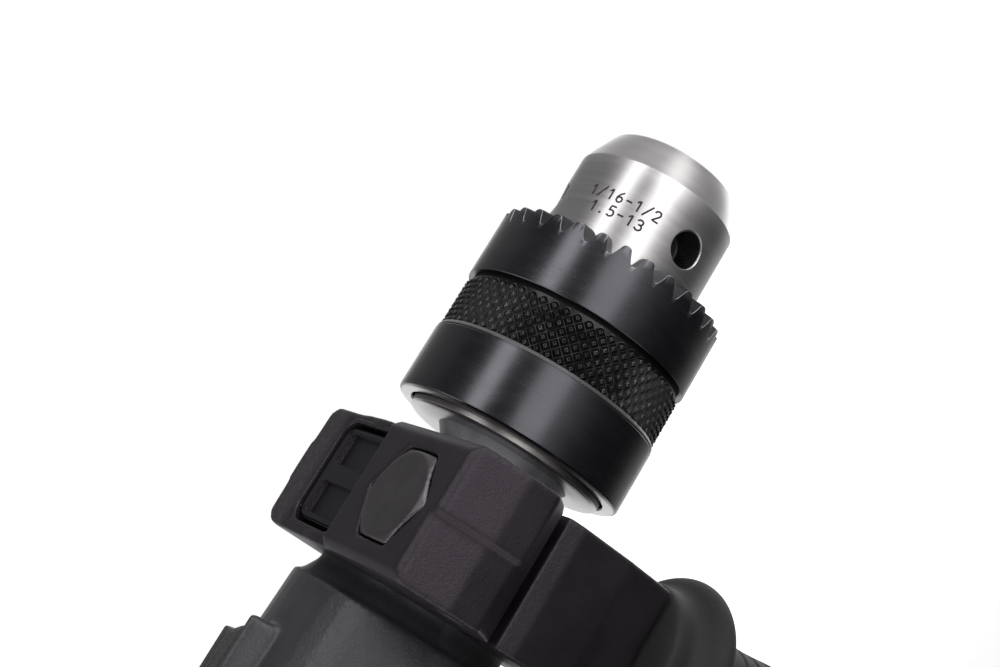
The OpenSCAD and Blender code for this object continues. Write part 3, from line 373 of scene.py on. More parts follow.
def tooth_height(phi):
    """Share of the tooth's height at the angle phi: a rounded tip, straight flanks and a short flat root."""
    d = np.abs((phi + 0.2 + TOOTH_PITCH / 2) % TOOTH_PITCH - TOOTH_PITCH / 2)
    return np.interp(d, [0, 0.9, 1.5, 2.1, 2.6, 3.2, 4.0, 4.6, 5.0, 5.5, 6.0],
                     [1, 0.985, 0.95, 0.87, 0.72, 0.5, 0.27, 0.11, 0.04, 0.005, 0])


def knurl_height(u, v):
    """Pyramids between two families of 45 degree grooves: u counts cells round, v half rows along. A cell's
    middle has whole u + v / 2 and u - v / 2, m is the larger distance from them, and the height falls
    evenly as m grows to 0.5. Returned are the height, with a small crater on top, and m."""
    p, q = u + v / 2, u - v / 2
    a, b = p - np.floor(p + 0.5 + 1e-9), q - np.ceil(q - 0.5 - 1e-9)
    m = np.maximum(np.abs(a), np.abs(b))
    # The front row's cells end in a rounded lobe, and none follow it
    row = (p - a) - (q - b)
    m = np.where((row < 0.5) & (a < 0) & (b > 0), np.hypot(a, b), m)
    m = np.where(row < -0.5, 0.75, m)
    h = np.clip((0.5 - m) / (0.5 - 1 / 12), 0.0, 1.0)
    return h - 0.3 * (m < 0.04), m


def sleeve_surface():
    """The sleeve as rows of one grid: rear rim, plain band, knurl, groove, plain band and bevel teeth. The
    knurl's radius is 25.25 + 0.84 knurl_height, and the outer edge stands at TOOTH_FOOT + 3.35
    tooth_height."""
    cols = KNURLS * CELL_COLS
    phi = -3.32 + 360.0 / cols * np.arange(cols)
    u = np.arange(cols) / CELL_COLS
    rows, kinds = [], []

    def row(kind, x, r, m=2.0):
        rows.append(np.array(np.broadcast_arrays(phi, x, r, m)[1:]))
        kinds.append(kind)

    for x, r in ((3.0, 23.32), (0.35, 23.32), (0.2, 23.45), (0.2, 25.9), (0.3, 26.2), (0.55, 26.42),
                 (0.95, SLEEVE_R), (4, SLEEVE_R), (14.95, SLEEVE_R), (15.05, 26.44), (15.1, 26.25), (15.3, 26.25)):
        row(BLACK, x, r)
    # The STRIP rows on the bead carry a painted highlight.
    row(STRIP, 15.36, 26.36)
    row(STRIP, 15.6, 26.38)
    row(BLACK, 16.15, 26.1)
    first = len(rows)
    v = np.arange(44, -7, -1) / 6.0
    for k in v:
        h, m = knurl_height(u, k)
        row(KNURL, KNURL_X - KNURL_STEP * k, 25.25 + 0.84 * h, m)
    # The GROOVE rows carry painted shade: the groove in front of the knurl is near black with little sheen.
    kinds[-1] = GROOVE
    row(GROOVE, 28.05, 25.3)
    row(GROOVE, 28.15, 25.15)
    for x, r in ((28.66, 25.15), (28.7, 26.3), (28.85, 26.46), (29.1, SLEEVE_R), (FRONT_BAND, SLEEVE_R)):
        row(BLACK, x, r)
    h = tooth_height(phi)
    edge = TOOTH_FOOT + 3.35 * h
    # The EDGE rows along the teeth's outer edge carry a painted highlight.
    for kind, share in ((BLACK, 0.4), (BLACK, 0.75), (EDGE, 1.0)):
        row(kind, FRONT_BAND + (edge - 0.2 - FRONT_BAND) * share, SLEEVE_R)
    row(EDGE, edge - 0.06, 26.44)
    row(TOOTH, edge, 26.3)
    for r in (25.4, 24.2, 23.0, 21.8, 20.4, 19.6, 18.82):
        tip = 44.45 + 1.5 * min(1.0, (SLEEVE_R - r) / 6.3)
        root = TOOTH_FOOT + 0.33 * (SLEEVE_R - r)
        row(TOOTH, root + (tip - root) * h, r)
    row(TOOTH, 42.6, 18.8)
    x, r, m = np.stack(rows, 1)
    flat = np.stack([np.broadcast_to(u, x.shape), (KNURL_X - x) / KNURL_STEP, m], -1)
    faces = grid_faces(len(rows), cols)
    kinds = np.array(kinds)[faces[:, 0] // cols]
    # Quads of the knurl are cut along the grooves' own diagonals
    quads, rest = faces[kinds == KNURL], faces[kinds != KNURL]
    uc = (quads[:, 0] % cols + 0.5) / CELL_COLS
    vc = v[quads[:, 0] // cols - first] - 1 / 12.0
    p, q = uc + vc / 2, uc - vc / 2
    along = np.abs(p - np.round(p)) > np.abs(q - np.round(q))
    tris = np.where(along[:, None], quads[:, [0, 1, 2, 0, 2, 3]], quads[:, [0, 1, 3, 1, 2, 3]]).reshape(-1, 3)
    kinds = np.concatenate([np.full(len(tris), KNURL), kinds[kinds != KNURL]])
    return revolved(x, r, phi[None, :]), [tris, rest], kinds, flat


def nose_surface():
    """The chuck body as rows (x, r) of one grid: hub, rear steps, nose cylinder, cone and front face. A
    square is left out of the grid for each pilot hole. Rings lead from the square's edge to a circle on the
    cylinder, at the height sqrt(NOSE_R^2 - across^2), and from there down the hole's wall to its closed
    end."""
    cols = 360
    rear = [(NECK, [(-5.0, 9.0), (-5.0, 12.9), (-4.8, 13.2), (-3.0, 14.5), (-1.75, 15.35)]),
            (DISC, [(-1.58, 15.5), (-1.55, 15.7), (-1.55, 19.4), (-1.55, 22.0), (-1.5, 22.2), (-1.25, 22.5)]),
            (RIM, [(-1.1, 22.62), (0.1, 22.7), (0.8, 22.7), (3.0, 22.7)]),
            (NOSE, [(3.0, 18.6), (40.0, 18.6), (43.0, NOSE_R), (46.0, NOSE_R)])]
    tip = [(61.0, NOSE_R), (64.2, NOSE_R), (64.42, NOSE_R - 0.03), (64.6, NOSE_R - 0.12), (67.0, 17.5),
           (69.5, 16.32), (71.8, 15.22), (72.15, 14.98), (72.4, 14.6), (72.5, 14.1), (72.5, 13.98), (72.3, 13.9)]
    hole_rows = np.linspace(HOLE_X - 5.0, HOLE_X + 5.0, 11)
    before = [point for _, band in rear for point in band]
    kinds = np.array([kind for kind, band in rear for _ in band] + [NOSE] * (len(hole_rows) + len(tip)))
    profile = np.array(before + [(x, NOSE_R) for x in hole_rows] + tip)
    faces = grid_faces(len(profile), cols)
    points = [revolved(profile[:, :1], profile[:, 1:], np.arange(cols) * 1.0).reshape(-1, 3)]
    first, last = len(before), len(before) + 10
    i, j = faces[:, 0] // cols, faces[:, 0] % cols
    keep = np.ones(len(faces), bool)
    holes, hole_kinds = [], []
    for roll in HOLE_ROLLS:
        lo, hi = roll - 15, roll + 15
        keep &= ~((i >= first) & (i < last) & (j >= lo) & (j < hi))
        over, up = np.arange(lo, hi), np.arange(first, last)
        ring_row = np.concatenate([np.full(30, first), up, np.full(30, last), up[::-1] + 1])
        ring_col = np.concatenate([over, np.full(10, hi), over[::-1] + 1, np.full(10, lo)])
        t = NOSE_R * np.sin(np.radians(ring_col - roll))
        dx = hole_rows[ring_row - first] - HOLE_X
        a = np.arctan2(dx, t)
        rings = []
        for w in (0.62, 0.3, 0.1, 0.0):
            across = (1 - w) * 4.25 * np.cos(a) + w * t
            rings.append((across, (1 - w) * 4.25 * np.sin(a) + w * dx, np.sqrt(NOSE_R ** 2 - across ** 2)))
        for rho, deep in ((4.18, 0.05), (4.04, 0.22), (4.0, 0.34)):
            across = rho * np.cos(a)
            rings.append((across, rho * np.sin(a), np.sqrt(NOSE_R ** 2 - across ** 2) - deep))
        for rho, height in ((3.98, 14.0), (3.98, 10.9), (3.6, 10.6), (0.05, 10.3)):
            rings.append((rho * np.cos(a), rho * np.sin(a), np.full(len(a), height)))
        across, along, height = np.stack(rings, 1)[..., None]
        c = math.radians(roll)
        outwards, sideways = np.array([-math.cos(c), -math.sin(c)]), np.array([math.sin(c), -math.cos(c)])
        index = sum(len(block) for block in points) + np.arange(along.size).reshape(-1, len(a))
        index = np.vstack([ring_row * cols + ring_col % cols, index])
        after = np.roll(index, -1, axis=1)
        block = np.concatenate([HOLE_X + along, across * sideways + height * outwards], -1)
        points.append(block.reshape(-1, 3))
        holes.append(np.stack([index[:-1], after[:-1], after[1:], index[1:]], -1).reshape(-1, 4))
        hole_kinds.append(np.repeat([NOSE] * 7 + [HOLE] * 4, len(a)))
    return (np.concatenate(points), np.concatenate([faces[keep]] + holes),
            np.concatenate([kinds[faces[keep][:, 0] // cols]] + hole_kinds))


NOSE_MAT = brushed_bright("nose bright steel", (0.385, 0.373, 0.379), (0.475, 0.46, 0.459))
DISC_MAT = brushed_bright("disc bright steel", (0.62, 0.605, 0.61), (0.70, 0.685, 0.685))
SLEEVE_MATS = [
    brushed_black("sleeve black", 0.24, 0.76, (0.0005, 0.0005, 0.0009), (0.0018, 0.0018, 0.0026)),
    knurl_black(),
    brushed_black("tooth faces", 0.5, 0.4, (0.003, 0.003, 0.004), (0.007, 0.007, 0.009)),
    # Painted highlight: a paler metal on the teeth's thin outer edge.
    metal("rubbed edge", (0.2, 0.2, 0.21), 0.3),
    # Painted highlight: a pale band on the bead between the rear band and the knurl.
    brushed_black("rubbed strip", 0.34, 0.6, (0.045, 0.041, 0.040), (0.075, 0.069, 0.067)),
    # Painted shade: near black, with little sheen, for the groove in front of the knurl.
    moulded("groove black", (0.0006, 0.0006, 0.0007), 0.6, 0.00002, 0.12),
]
NOSE_MATS = [
    NOSE_MAT,
    brushed_black("hole wall", 0.42, 0.35, (0.004, 0.0036, 0.0032), (0.012, 0.011, 0.010)),
    dull_neck(),
    metal("disc rim", (0.2, 0.19, 0.185), 0.36),
    DISC_MAT,
]
points, faces, kinds, flat = sleeve_surface()
mesh_object("knurled_sleeve", points, faces, "sleeve_group", SLEEVE_MATS, ("chuck_sleeve",),
            sharp=30, kinds=kinds, flat=flat)
points, faces, kinds = nose_surface()
mesh_object("chuck_nose", points, faces, "spindle_group", NOSE_MATS, ("chuck_body",),
            sharp=30, kinds=kinds)
# The bright rear rim of the sleeve: a profile of x and r, turned round the spindle
rim = np.array([(0.3, 23.4), (0.02, 23.42), (-0.04, 23.5), (-0.04, 25.55), (0.02, 25.7), (0.3, 26.0),
                (0.34, 26.1), (0.4, 26.1)])
mesh_object("rear_rim", revolved(rim[:, :1], rim[:, 1:], np.arange(360) * 1.0), grid_faces(len(rim), 360),
            "sleeve_group", [DISC_MAT], sharp=28)


def bored_core():
    """Inside of the chuck: a copy of the body's solid with its bores, drawn in under the turned surface.
    Outer radii shrink by 0.3 mm, or by 1.7 mm behind x = 1, where the rear face also moves forwards by 0.4
    mm."""
    me = NODES["chuck_body"].data.copy()
    o = placed("chuck_core", me)
    q = points_of(me)
    r = np.hypot(q[:, 1], q[:, 2])
    rear = q[:, 0] < 1.0
    inwards = np.where(rear, 1.7, 0.3) * (r > np.where(rear, 12.0, 14.6))
    q[:, 1:] *= (1.0 - inwards / np.maximum(r, 1.0))[:, None]
    q[:, 0] += np.where((r > 9.5) & (q[:, 0] < -4.0), 0.4, 0.0)
    set_points(me, q)
    dressed(me, metal("bored steel", (0.26, 0.255, 0.26), 0.36), NOSE_MAT)
    set_kinds(me, centres_of(me)[:, 0] > 72.45)
    sharpen(o, 30)
    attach(o, "spindle_group")


def coil(x0, length, mean, wire, turns, closed):
    """A wire of circular section carried along a helix: at the turn t its axis stands at x0 + wire + f(t),
    where f rises slowly over the closed turns at both ends and evenly between them."""
    t = np.linspace(0, turns, 48 * turns + 1)
    f = np.interp(t, [0, closed, turns - closed, turns],
                  [0, 2 * wire * closed, length - 2 * wire * (1 + closed), length - 2 * wire])
    a = 2 * math.pi * t[:, None]
    b = np.arange(12) * math.pi / 6
    thick = np.concatenate([[0.02, wire], np.full(len(t) - 4, wire), [wire, 0.02]])[:, None]
    r = mean + thick * np.cos(b)
    return np.stack([x0 + wire + f[:, None] + thick * np.sin(b), r * np.cos(a), r * np.sin(a)], -1)


def wound_spring():
    """The impact spring, wound as a coil along the node's length."""
    x = points_of(NODES["impact_spring"].data)[:, 0]
    x0, length = x.min(), np.ptp(x)
    points = coil(x0, length, 10.25, 1.2, 5, 0.9)
    o = mesh_object("spring_coil", points, grid_faces(len(points), 12), "housing",
                    [MATS["spring_steel"]], ("impact_spring",), sharp=60)
    1 - 1.2 / length
    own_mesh(o)


bored_core()
wound_spring()

# Moulded and cast pieces: a copy of the solid, its edges worn round

def softened(node, body, mat, voxel, passes, shrink=0.0):
    """A merged copy of a node's mesh, remeshed at this cell size and relaxed so that every edge gets a
    small radius."""
    o = placed(node + "_soft", dressed(NODES[node].data.copy(), mat))
    o.modifiers.new("weld", "WELD").merge_threshold = 1e-6
    cells = o.modifiers.new("cells", "REMESH")
    cells.mode, cells.voxel_size, cells.use_smooth_shade = "VOXEL", voxel, True
    relax = o.modifiers.new("relax", "SMOOTH")
    relax.factor, relax.iterations = 0.5, passes
    if shrink:
        clearance = o.modifiers.new("clearance", "DISPLACE")
        clearance.strength, clearance.mid_level = -shrink, 0.0
    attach(o, body)
    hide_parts(node)
    return o


# The clamp's own axes: z' runs along the bolt towards its head, rolled from the vertical, and y' across it
ROLL = math.radians(31)
PANEL = (-35.0, -11.5, -15.0, 13.5)     # the label panel's edges: x from and to, y' from and to
PANEL_R = 4.2                           # radius of its corners
BOSS_SIDE = -11.5                       # y' up to which the boss covers the panel
BLOCK_MIDDLE = -23.3                    # x of the label block's middle


def turned(q, roll):
    """Points turned round x: y cos + z sin, and z cos - y sin."""
    x, y, z = q[..., 0], q[..., 1], q[..., 2]
    return np.stack([x, y * math.cos(roll) + z * math.sin(roll), -y * math.sin(roll) + z * math.cos(roll)], -1)


def smoothstep(a, b, t):
    t = np.clip((t - a) / (b - a), 0, 1)
    return t * t * (3 - 2 * t)


def inside_box(x, y, x0, x1, y0, y1, r):
    """Distance from a rounded rectangle's edge, positive inside."""
    dx = np.abs(x - (x0 + x1) / 2) - (x1 - x0) / 2 + r
    dy = np.abs(y - (y0 + y1) / 2) - (y1 - y0) / 2 + r
    return r - np.hypot(np.maximum(dx, 0), np.maximum(dy, 0)) - np.minimum(np.maximum(dx, dy), 0)


def panel_loops(insets, n=12):
    """The label panel's outline drawn smaller by each inset: the corner's radius is PANEL_R less the inset,
    at least 0.05."""
    x0, x1, y0, y1 = PANEL
    t = np.linspace(0, 0.5 * math.pi, n)
    quarter = np.concatenate([t + k * 0.5 * math.pi for k in range(4)])
    cx, cy = np.repeat([x1, x0, x0, x1], n), np.repeat([y1, y1, y0, y0], n)
    sx, sy = np.repeat([-1, 1, 1, -1], n), np.repeat([-1, -1, 1, 1], n)
    d = np.asarray(insets, float)[:, None]
    rad = np.maximum(PANEL_R - d, 0.05)
    return cx + sx * (d + rad) + rad * np.cos(quarter), cy + sy * (d + rad) + rad * np.sin(quarter)


def clamp_plastic():
    """Black moulded plastic; on the label block's outer side, past y' = 14, the surface is matter and greyer."""
    m = Finish("clamp plastic worn", specular_ior_level=0.43, specular_tint=(0.95, 0.84, 0.97))
    _, y, z = m.xyz(m.object)
    z = z - 0.114
    across, up = y * math.cos(ROLL) + z * math.sin(ROLL), z * math.cos(ROLL) - y * math.sin(ROLL)
    grey_band = across.step(0.0135, 0.0175) * up.step(0.0262, 0.0278) * (1 - across.step(0.030, 0.034))
    cloud = m.noise(m.object, 70.0)
    fine = m.noise(m.object, 2600.0, 2.0, 0.6)
    speck = m.noise(m.object, 900.0, 3.0, 0.65).step(0.4, 0.75)
    dark = m.mix(cloud.step(0.3, 0.7), (0.0036, 0.0029, 0.0036), (0.0082, 0.0066, 0.0080))
    m.put("Base Color", m.mix(grey_band * (speck * 0.6 + 0.4), dark, (0.033, 0.031, 0.032)))
    m.put("Roughness", fine * 0.16 + (cloud - 0.5) * 0.1 + 0.38 + grey_band * 0.1)
    m.bump(fine + m.noise(m.object, 1100.0, 2.0) * 0.7, 0.4, 0.00016)
    return m.done()


CLAMP_MAT = clamp_plastic()
INSERT_MAT = moulded("label rubber", (0.0032, 0.0028, 0.0042), 0.45, 0.00016, 0.31, 2200.0, 0.4,
                     (0.96, 0.86, 1.0))
BOLT_MAT = metal("bolt head", (0.108, 0.101, 0.107), 0.42, (900.0, 900.0, 900.0))


def worn_clamp():
    """The clamp ring, softened. The panel's field is sunk by 2.4 mm. In plan, the label block's two outer corners
    get a radius of 6: points beyond it are drawn in to it. The sunk pocket's walls are painted black as shade."""
    o = softened("clamp_ring", "ring_group", CLAMP_MAT, 0.00049, 10)
    me = bpy.data.meshes.new_from_object(o.evaluated_get(bpy.context.evaluated_depsgraph_get()))
    o.modifiers.clear()
    o.data = me
    q = turned(points_of(me), ROLL)
    sunk = smoothstep(0.0, 0.5, inside_box(q[:, 0], q[:, 1], *PANEL, PANEL_R))
    q[:, 2] -= sunk * (q[:, 2] > 25.2) * (q[:, 1] > BOSS_SIDE) * 2.4
    radius, half = 6.0, 14.4
    dx, dy = np.abs(q[:, 0] - BLOCK_MIDDLE) - half + radius, q[:, 1] - 23.8 + radius
    far = np.maximum(np.hypot(np.maximum(dx, 0), np.maximum(dy, 0)), 1e-6)
    pull = np.where((dx > 0) & (dy > 0), np.minimum(radius / far, 1.0) - 1.0, 0.0) * smoothstep(8, 12, q[:, 2])
    q[:, 0] += pull * dx * np.sign(q[:, 0] - BLOCK_MIDDLE)
    q[:, 1] += pull * dy
    set_points(me, turned(q, -ROLL))
    # Painted shade: the pocket's walls get a near-black material.
    me.materials.append(moulded("pocket black", (0.0008, 0.0007, 0.0009), 0.7, 0.00005, 0.1))
    c = turned(centres_of(me), ROLL)
    pocket = (inside_box(c[:, 0], c[:, 1], *PANEL, PANEL_R) > -0.15) & (c[:, 1] > BOSS_SIDE)
    set_kinds(me, pocket & (c[:, 2] > 22) & (c[:, 2] < 27.75))


def panel_band(name, profile, mat, sharp):
    """A band that runs round the label panel; the profile gives pairs of an inset from its edge and a
    height z'."""
    inset, height = np.array(profile).T
    x, y = panel_loops(inset)
    points = np.stack([x, y, np.broadcast_to(height[:, None], x.shape)], -1)
    mesh_object(name, turned(points, -ROLL), grid_faces(*x.shape)[:, ::-1], "ring_group",
                [mat], sharp=sharp)


def panel_field(rows=125, cols=150, level=27.95):
    """The panel's field: a grid at this height z', sunk by 1.3 mm inside the two windows."""
    x, y = np.meshgrid(np.linspace(PANEL[0] + 2.55, PANEL[1] - 2.2, rows),
                       np.linspace(PANEL[2] + 2.55, PANEL[3] - 2.55, cols), indexing="ij")
    z = np.full(x.shape, level)
    for x0, x1 in ((-21.2, -13.9), (-32.4, -25.1)):
        z -= 1.3 * smoothstep(0.0, 0.35, inside_box(x, y, x0, x1, -14.0, 9.9, 0.5))
    mesh_object("label_field", turned(np.stack([x, y, z], -1), -ROLL), grid_faces(rows, cols, False)[:, ::-1],
                "ring_group", [INSERT_MAT], sharp=50)


worn_clamp()
# Rubber panel let into the label block: a rim with a step, the lip round its pocket, and the field
panel_band("label_rim", [(1.05, 24.0), (1.05, 26.9), (1.1, 27.1), (1.25, 27.2), (1.42, 27.2), (1.5, 27.3),
                         (1.52, 27.7), (1.6, 27.85), (1.75, 27.93), (2.0, 27.95), (2.6, 27.95)], INSERT_MAT, 50)
panel_band("label_lip", [(-0.8, 28.0), (-0.75, 28.3), (-0.6, 28.42), (-0.35, 28.45), (-0.1, 28.42),
                         (0.05, 28.3), (0.1, 28.0), (0.1, 24.0)], CLAMP_MAT, 60)
panel_field()
softened("clamp_bolt", "bolt_group", BOLT_MAT, 0.00032, 5)

# The rest of the casing and the controls
COOL = (0.97, 0.94, 1.0)        # tint of the casing's sheen
HOUSING_MAT = moulded("housing plastic worn", (0.030, 0.0295, 0.032), 0.48, 0.00016, 0.46, 2000.0, 0.2, COOL)
CAST_MAT = moulded("painted gear casting", (0.024, 0.0235, 0.026), 0.42, 0.0002, 0.5, 1500.0, 0.2, COOL)
GRIP_MAT = moulded("grip skin", (0.013, 0.0125, 0.0135), 0.7, 0.0002, 0.3, 1700.0, 0.2)
KEY_MAT = moulded("control plastic", (0.012, 0.0115, 0.0125), 0.4, 0.00012, 0.5, 2600.0, 0.2)
for row in (
        ("gear_housing", "housing", CAST_MAT, 0.0007, 8),
        ("left_housing", "housing", HOUSING_MAT, 0.00095, 6),
        ("right_housing", "housing", HOUSING_MAT, 0.00095, 6),
        ("rubber_grip", "housing", GRIP_MAT, 0.0008, 6),
        ("cord_gland", "housing", GRIP_MAT, 0.0005, 6),
        ("mode_knob", "mode_selector", KEY_MAT, 0.00035, 5),
        ("trigger", "trigger_group", KEY_MAT, 0.00045, 7, 0.00015),
        ("speed_wheel", "wheel_group", KEY_MAT, 0.00025, 3),
        ("lock_button", "lock_group", KEY_MAT, 0.0003, 4),
        ("reverse_lever", "lever_group", KEY_MAT, 0.0003, 5)):
    softened(*row)


def ribbed_handle():
    """The side grip turned round its bolt, as pairs of a depth below the ring and a radius: the outline's
    corners are cut four times over, then grooves 0.55 deep, one every 4.6, are pressed in between the
    depths 24 and 84. A groove is the part of a cosine wave above 0.55."""
    q = turned(points_of(NODES["side_grip"].data), ROLL)
    low, high = q.min(0), q.max(0)
    cx, cy = (low[0] + high[0]) / 2, (low[1] + high[1]) / 2
    s = np.array([(0.0, 6.55), (0.0, 15.0), (1.5, 16.0), (6.0, 16.0), (9.0, 21.0), (12.5, 21.0), (16.0, 14.5),
                  (26.0, 13.5), (40.0, 15.6), (54.0, 16.5), (68.0, 15.9), (86.4, 14.0), (94.0, 18.0),
                  (101.0, 18.0), (108.0, 12.5), (108.0, 0.3)])
    for _ in range(4):
        cut = np.stack([0.75 * s[:-1] + 0.25 * s[1:], 0.25 * s[:-1] + 0.75 * s[1:]], 1).reshape(-1, 2)
        s = np.concatenate([s[:1], cut, s[-1:]])
    run = np.concatenate([[0], np.cumsum(np.hypot(*np.diff(s, axis=0).T))])
    even = np.arange(0, run[-1], 0.4)
    depth, r = np.interp(even, run, s[:, 0]), np.interp(even, run, s[:, 1])
    wave = np.maximum(0.0, np.cos((depth - 25.0) * 2 * math.pi / 4.6) - 0.55) / 0.45
    r = (r - 0.55 * wave * ((depth > 24) & (depth < 84)))[:, None]
    a = np.radians(np.arange(0, 360, 2.5))
    z = np.repeat(high[2] - depth[:, None], len(a), 1)
    points = np.stack([cx + r * np.cos(a), cy + r * np.sin(a), z], -1)
    mesh_object("ribbed_handle", turned(points, -ROLL), grid_faces(len(r), len(a))[:, ::-1], "handle_group",
                [GRIP_MAT], ("side_grip",), sharp=50)


ribbed_handle()

# Size numbers on the nose: strokes in a box 0.6 wide and 1 high
STROKES = {
    "1": [[(0.12, 0.76), (0.38, 1.0), (0.38, 0.0)]],
    "2": [[(0.04, 0.76), (0.1, 0.92), (0.3, 1.0), (0.5, 0.94), (0.58, 0.76), (0.52, 0.58), (0.03, 0.0),
           (0.6, 0.0)]],
    "3": [[(0.05, 0.86), (0.2, 0.98), (0.4, 0.99), (0.56, 0.87), (0.56, 0.67), (0.42, 0.54), (0.24, 0.53)],
          [(0.42, 0.54), (0.59, 0.41), (0.6, 0.17), (0.43, 0.02), (0.2, 0.0), (0.03, 0.13)]],
    "5": [[(0.55, 1.0), (0.12, 1.0), (0.08, 0.57), (0.3, 0.63), (0.5, 0.56), (0.6, 0.34), (0.52, 0.1),
           (0.3, 0.0), (0.04, 0.09)]],
    "6": [[(0.5, 0.98), (0.24, 0.76), (0.07, 0.45), (0.08, 0.18), (0.22, 0.02), (0.42, 0.02), (0.58, 0.18),
           (0.57, 0.4), (0.42, 0.53), (0.22, 0.5), (0.08, 0.34)]],
    "/": [[(0.0, -0.04), (0.62, 1.04)]],
    "-": [[(0.08, 0.48), (0.54, 0.48)]],
    ".": [[(0.22, 0.03), (0.34, 0.03)]],
}


def engraved(text, phi0, x0, height=2.4, pitch=6.8, width=0.42):
    """Ribbons along each stroke, laid on the nose: s runs round the cylinder, at phi0 + s / NOSE_R, and x
    from x0 towards the tip. Letters follow each other every pitch degrees."""
    points, faces, start = [], [], 0
    for k, letter in enumerate(text):
        for stroke in STROKES[letter]:
            q = np.array(stroke) * height
            quarters = np.linspace(0, 1, 4, endpoint=False)[:, None]
            between = q[:-1, None] + np.diff(q, axis=0)[:, None] * quarters
            line = np.concatenate([between.reshape(-1, 2), q[-1:]])
            d = np.gradient(line, axis=0)
            d /= np.linalg.norm(d, axis=1)[:, None] + 1e-9
            line[0] -= d[0] * width * 0.3
            line[-1] += d[-1] * width * 0.3
            side = np.column_stack([-d[:, 1], d[:, 0]]) * width / 2
            both = np.concatenate([line + side, line - side])
            phi = phi0 + k * pitch + np.degrees(both[:, 0] / NOSE_R)
            points.append(revolved(x0 + both[:, 1], NOSE_R + 0.012, phi))
            n = len(line)
            i = start + np.arange(n - 1)
            faces.append(np.column_stack([i, i + n, i + n + 1, i + 1]))
            start += 2 * n
    return np.concatenate(points), np.concatenate(faces)


def burnt_mark():
    """Dull brown-black with a fine uneven tone."""
    m = Finish("burnt mark", roughness=0.75, specular_ior_level=0.15)
    tone = m.noise(m.object, 3000.0, 2.0).step(0.3, 0.7)
    m.put("Base Color", m.mix(tone, (0.022, 0.017, 0.015), (0.06, 0.048, 0.042)))
    return m.done()


MARK_MAT = burnt_mark()
for name, text, phi0, x0 in (("size_inch", "1/16-1/2", -44.5, 54.35), ("size_mm", "1.5-13", -38.0, 50.75)):
    points, faces = engraved(text, phi0, x0)
    mesh_object(name, points, faces, "spindle_group", [MARK_MAT])


# Camera and studio: white backdrop, a grey room around it, two long soft lamps and a pale floor

def turn_to(o, x, y, z, at):
    """Gives a camera or lamp its three axes and its place in metres."""
    m = Matrix((x, y, z)).transposed().to_4x4()
    m.translation = Vector(at)
    o.matrix_world = m


def camera():
    """The photograph's viewpoint: its place and axes were fitted to the chuck, with a focal length of 1540
    pixels in a picture 1000 pixels wide."""
    data = bpy.data.cameras.new("camera")
    data.sensor_width = 36.0
    data.lens = 1540.38 * 36.0 / 1000.0
    data.clip_start, data.clip_end = 0.01, 50.0
    o = placed("camera", data)
    turn_to(o, (0.511404, -0.077394, -0.855848), (0.830925, -0.209456, 0.515453),
            (-0.219155, -0.97475, -0.042808), to_frame((-51.03, -321.82, 0.0)))
    bpy.context.scene.camera = o


# Grey levels of the room round the x axis, by the angle psi in degrees from -Y towards -Z
SIDE_LEVELS = [
    (-180, 1.0), (-166, 0.9), (-156, 0.5), (-146, 0.32), (-130, 0.25), (-100, 0.26), (-88, 0.16), (-72, 0.14),
    (-36, 0.2), (-25, 0.14), (-13, 0.2), (22, 0.7), (32, 0.55), (45, 0.22), (58, 0.1), (80, 0.05), (105, 0.045),
    (116, 0.09), (130, 0.3), (150, 0.5), (163, 0.95), (180, 1.0)]
FRONT_LEVELS = [
    (-180, 0.75), (-166, 0.7), (-155, 0.42), (-141, 0.3), (-128, 0.25), (-100, 0.2), (-84, 0.25), (-70, 0.32),
    (-48, 0.22), (-30, 0.26), (-8, 0.85), (12, 0.9), (28, 0.8), (42, 0.35), (55, 0.22), (78, 0.14), (100, 0.14),
    (119, 0.18), (130, 0.35), (138, 0.75), (150, 0.95), (180, 0.95)]


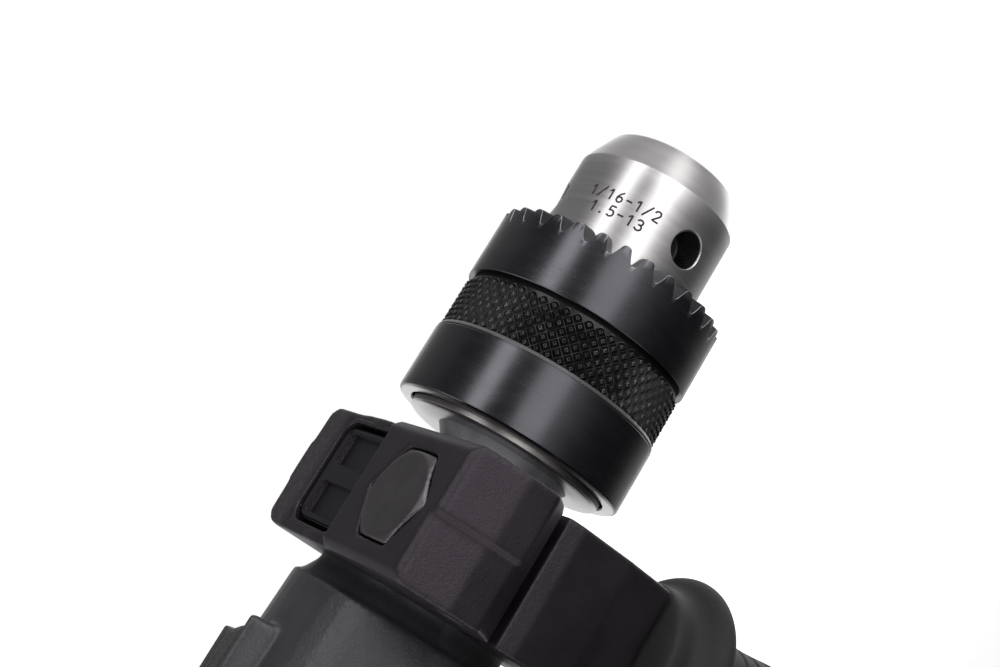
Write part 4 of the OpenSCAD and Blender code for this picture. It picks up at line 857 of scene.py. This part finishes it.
def surroundings():
    """World by direction: a grey room whose level follows psi, brighter where a ray looks forwards along x,
    and plain and bright where it looks backwards. The backdrop is white for camera rays, and beyond y =
    0.85 to 0.93 of the direction also for glossy and transmission rays."""
    world = bpy.data.worlds.new("studio")
    bpy.context.scene.world = world
    room = Tree(world)
    x, y, z = room.xyz(room.node("TexCoord", None, None, "Generated"))
    turn = (z * -1.0).math("ARCTAN2", y * -1.0) * (0.5 / math.pi) + 0.5
    side, front = (
        room.node("ValToRGB", {"stops": [(psi / 360 + 0.5, level) for psi, level in levels]}, {0: turn})
        for levels in (SIDE_LEVELS, FRONT_LEVELS))
    grey = room.mix((x * -1.0).step(0.55, 0.8), side, (1.75, 1.72, 1.75))
    grey = room.mix(x.step(0.34, 0.5), grey, front * 2.6)
    mirrored = (room.ray("Glossy") + room.ray("Transmission")) * y.step(0.85, 0.93)
    shown = (room.ray("Camera") + mirrored).math("MINIMUM", 1.0)
    light = room.node("Background", None, {"Color": room.mix(shown, grey, (1.0, 1.0, 1.0)), "Strength": 1.0})
    room.node("OutputWorld", None, {"Surface": light})


def long_lamp(name, psi, wide, level, length=1.7, reach=1300.0, shift=415.0):
    """A rectangular soft lamp at the angle psi round the chuck: wide degrees across, length metres along x,
    reach millimetres from the spindle and shift in front of the chuck's rear face. Its surface has this
    radiance."""
    a = math.radians(psi)
    width = 2 * reach * math.tan(math.radians(wide / 2)) / 1000
    data = bpy.data.lights.new(name, "AREA")
    data.shape, data.size, data.size_y = "RECTANGLE", length, width
    data.energy = level * math.pi * width * length
    at = Vector(to_frame((shift, -reach * math.cos(a), -reach * math.sin(a))))
    z = (at - Vector(to_frame((40, 0, 0)))).normalized()
    x = Vector((1, 0, 0))
    x = (x - z * x.dot(z)).normalized()
    turn_to(placed(name, data), x, z.cross(x), z, at)


def pale_floor():
    """A plane just below the object. For camera rays it glows, more and more from 0.15 to 0.6 m away, so
    that its pale grey fades to the backdrop's white. It takes the object's shadow, and neither mirrors in
    the metal nor holds back light."""
    m = Finish("floor", roughness=0.9, base_color=(0.5, 0.5, 0.5))
    x, y, _ = m.xyz(m.object)
    x = x - 0.15
    away = (x * x + y * y).math("SQRT").step(0.15, 0.6)
    glow = m.node("Emission", None, {"Strength": (away * 0.45 + 0.6) * m.ray("Camera")})
    me = bpy.data.meshes.new("floor")
    half, z = 6.0, BOUNDS_CAD[0][2] - 0.0005
    me.from_pydata([(-half, -half, z), (half, -half, z), (half, half, z), (-half, half, z)], [], [(0, 1, 2, 3)])
    floor = placed("floor", dressed(me, m.done(m.node("AddShader", None, {0: m.shader, 1: glow}))))
    floor.visible_glossy = False
    floor.visible_shadow = False


bpy.context.scene.view_settings.view_transform = "Standard"
camera()
surroundings()
long_lamp("front_lamp", 5, 30, 2.4)
long_lamp("upper_lamp", -46, 17, 4.3)
pale_floor()

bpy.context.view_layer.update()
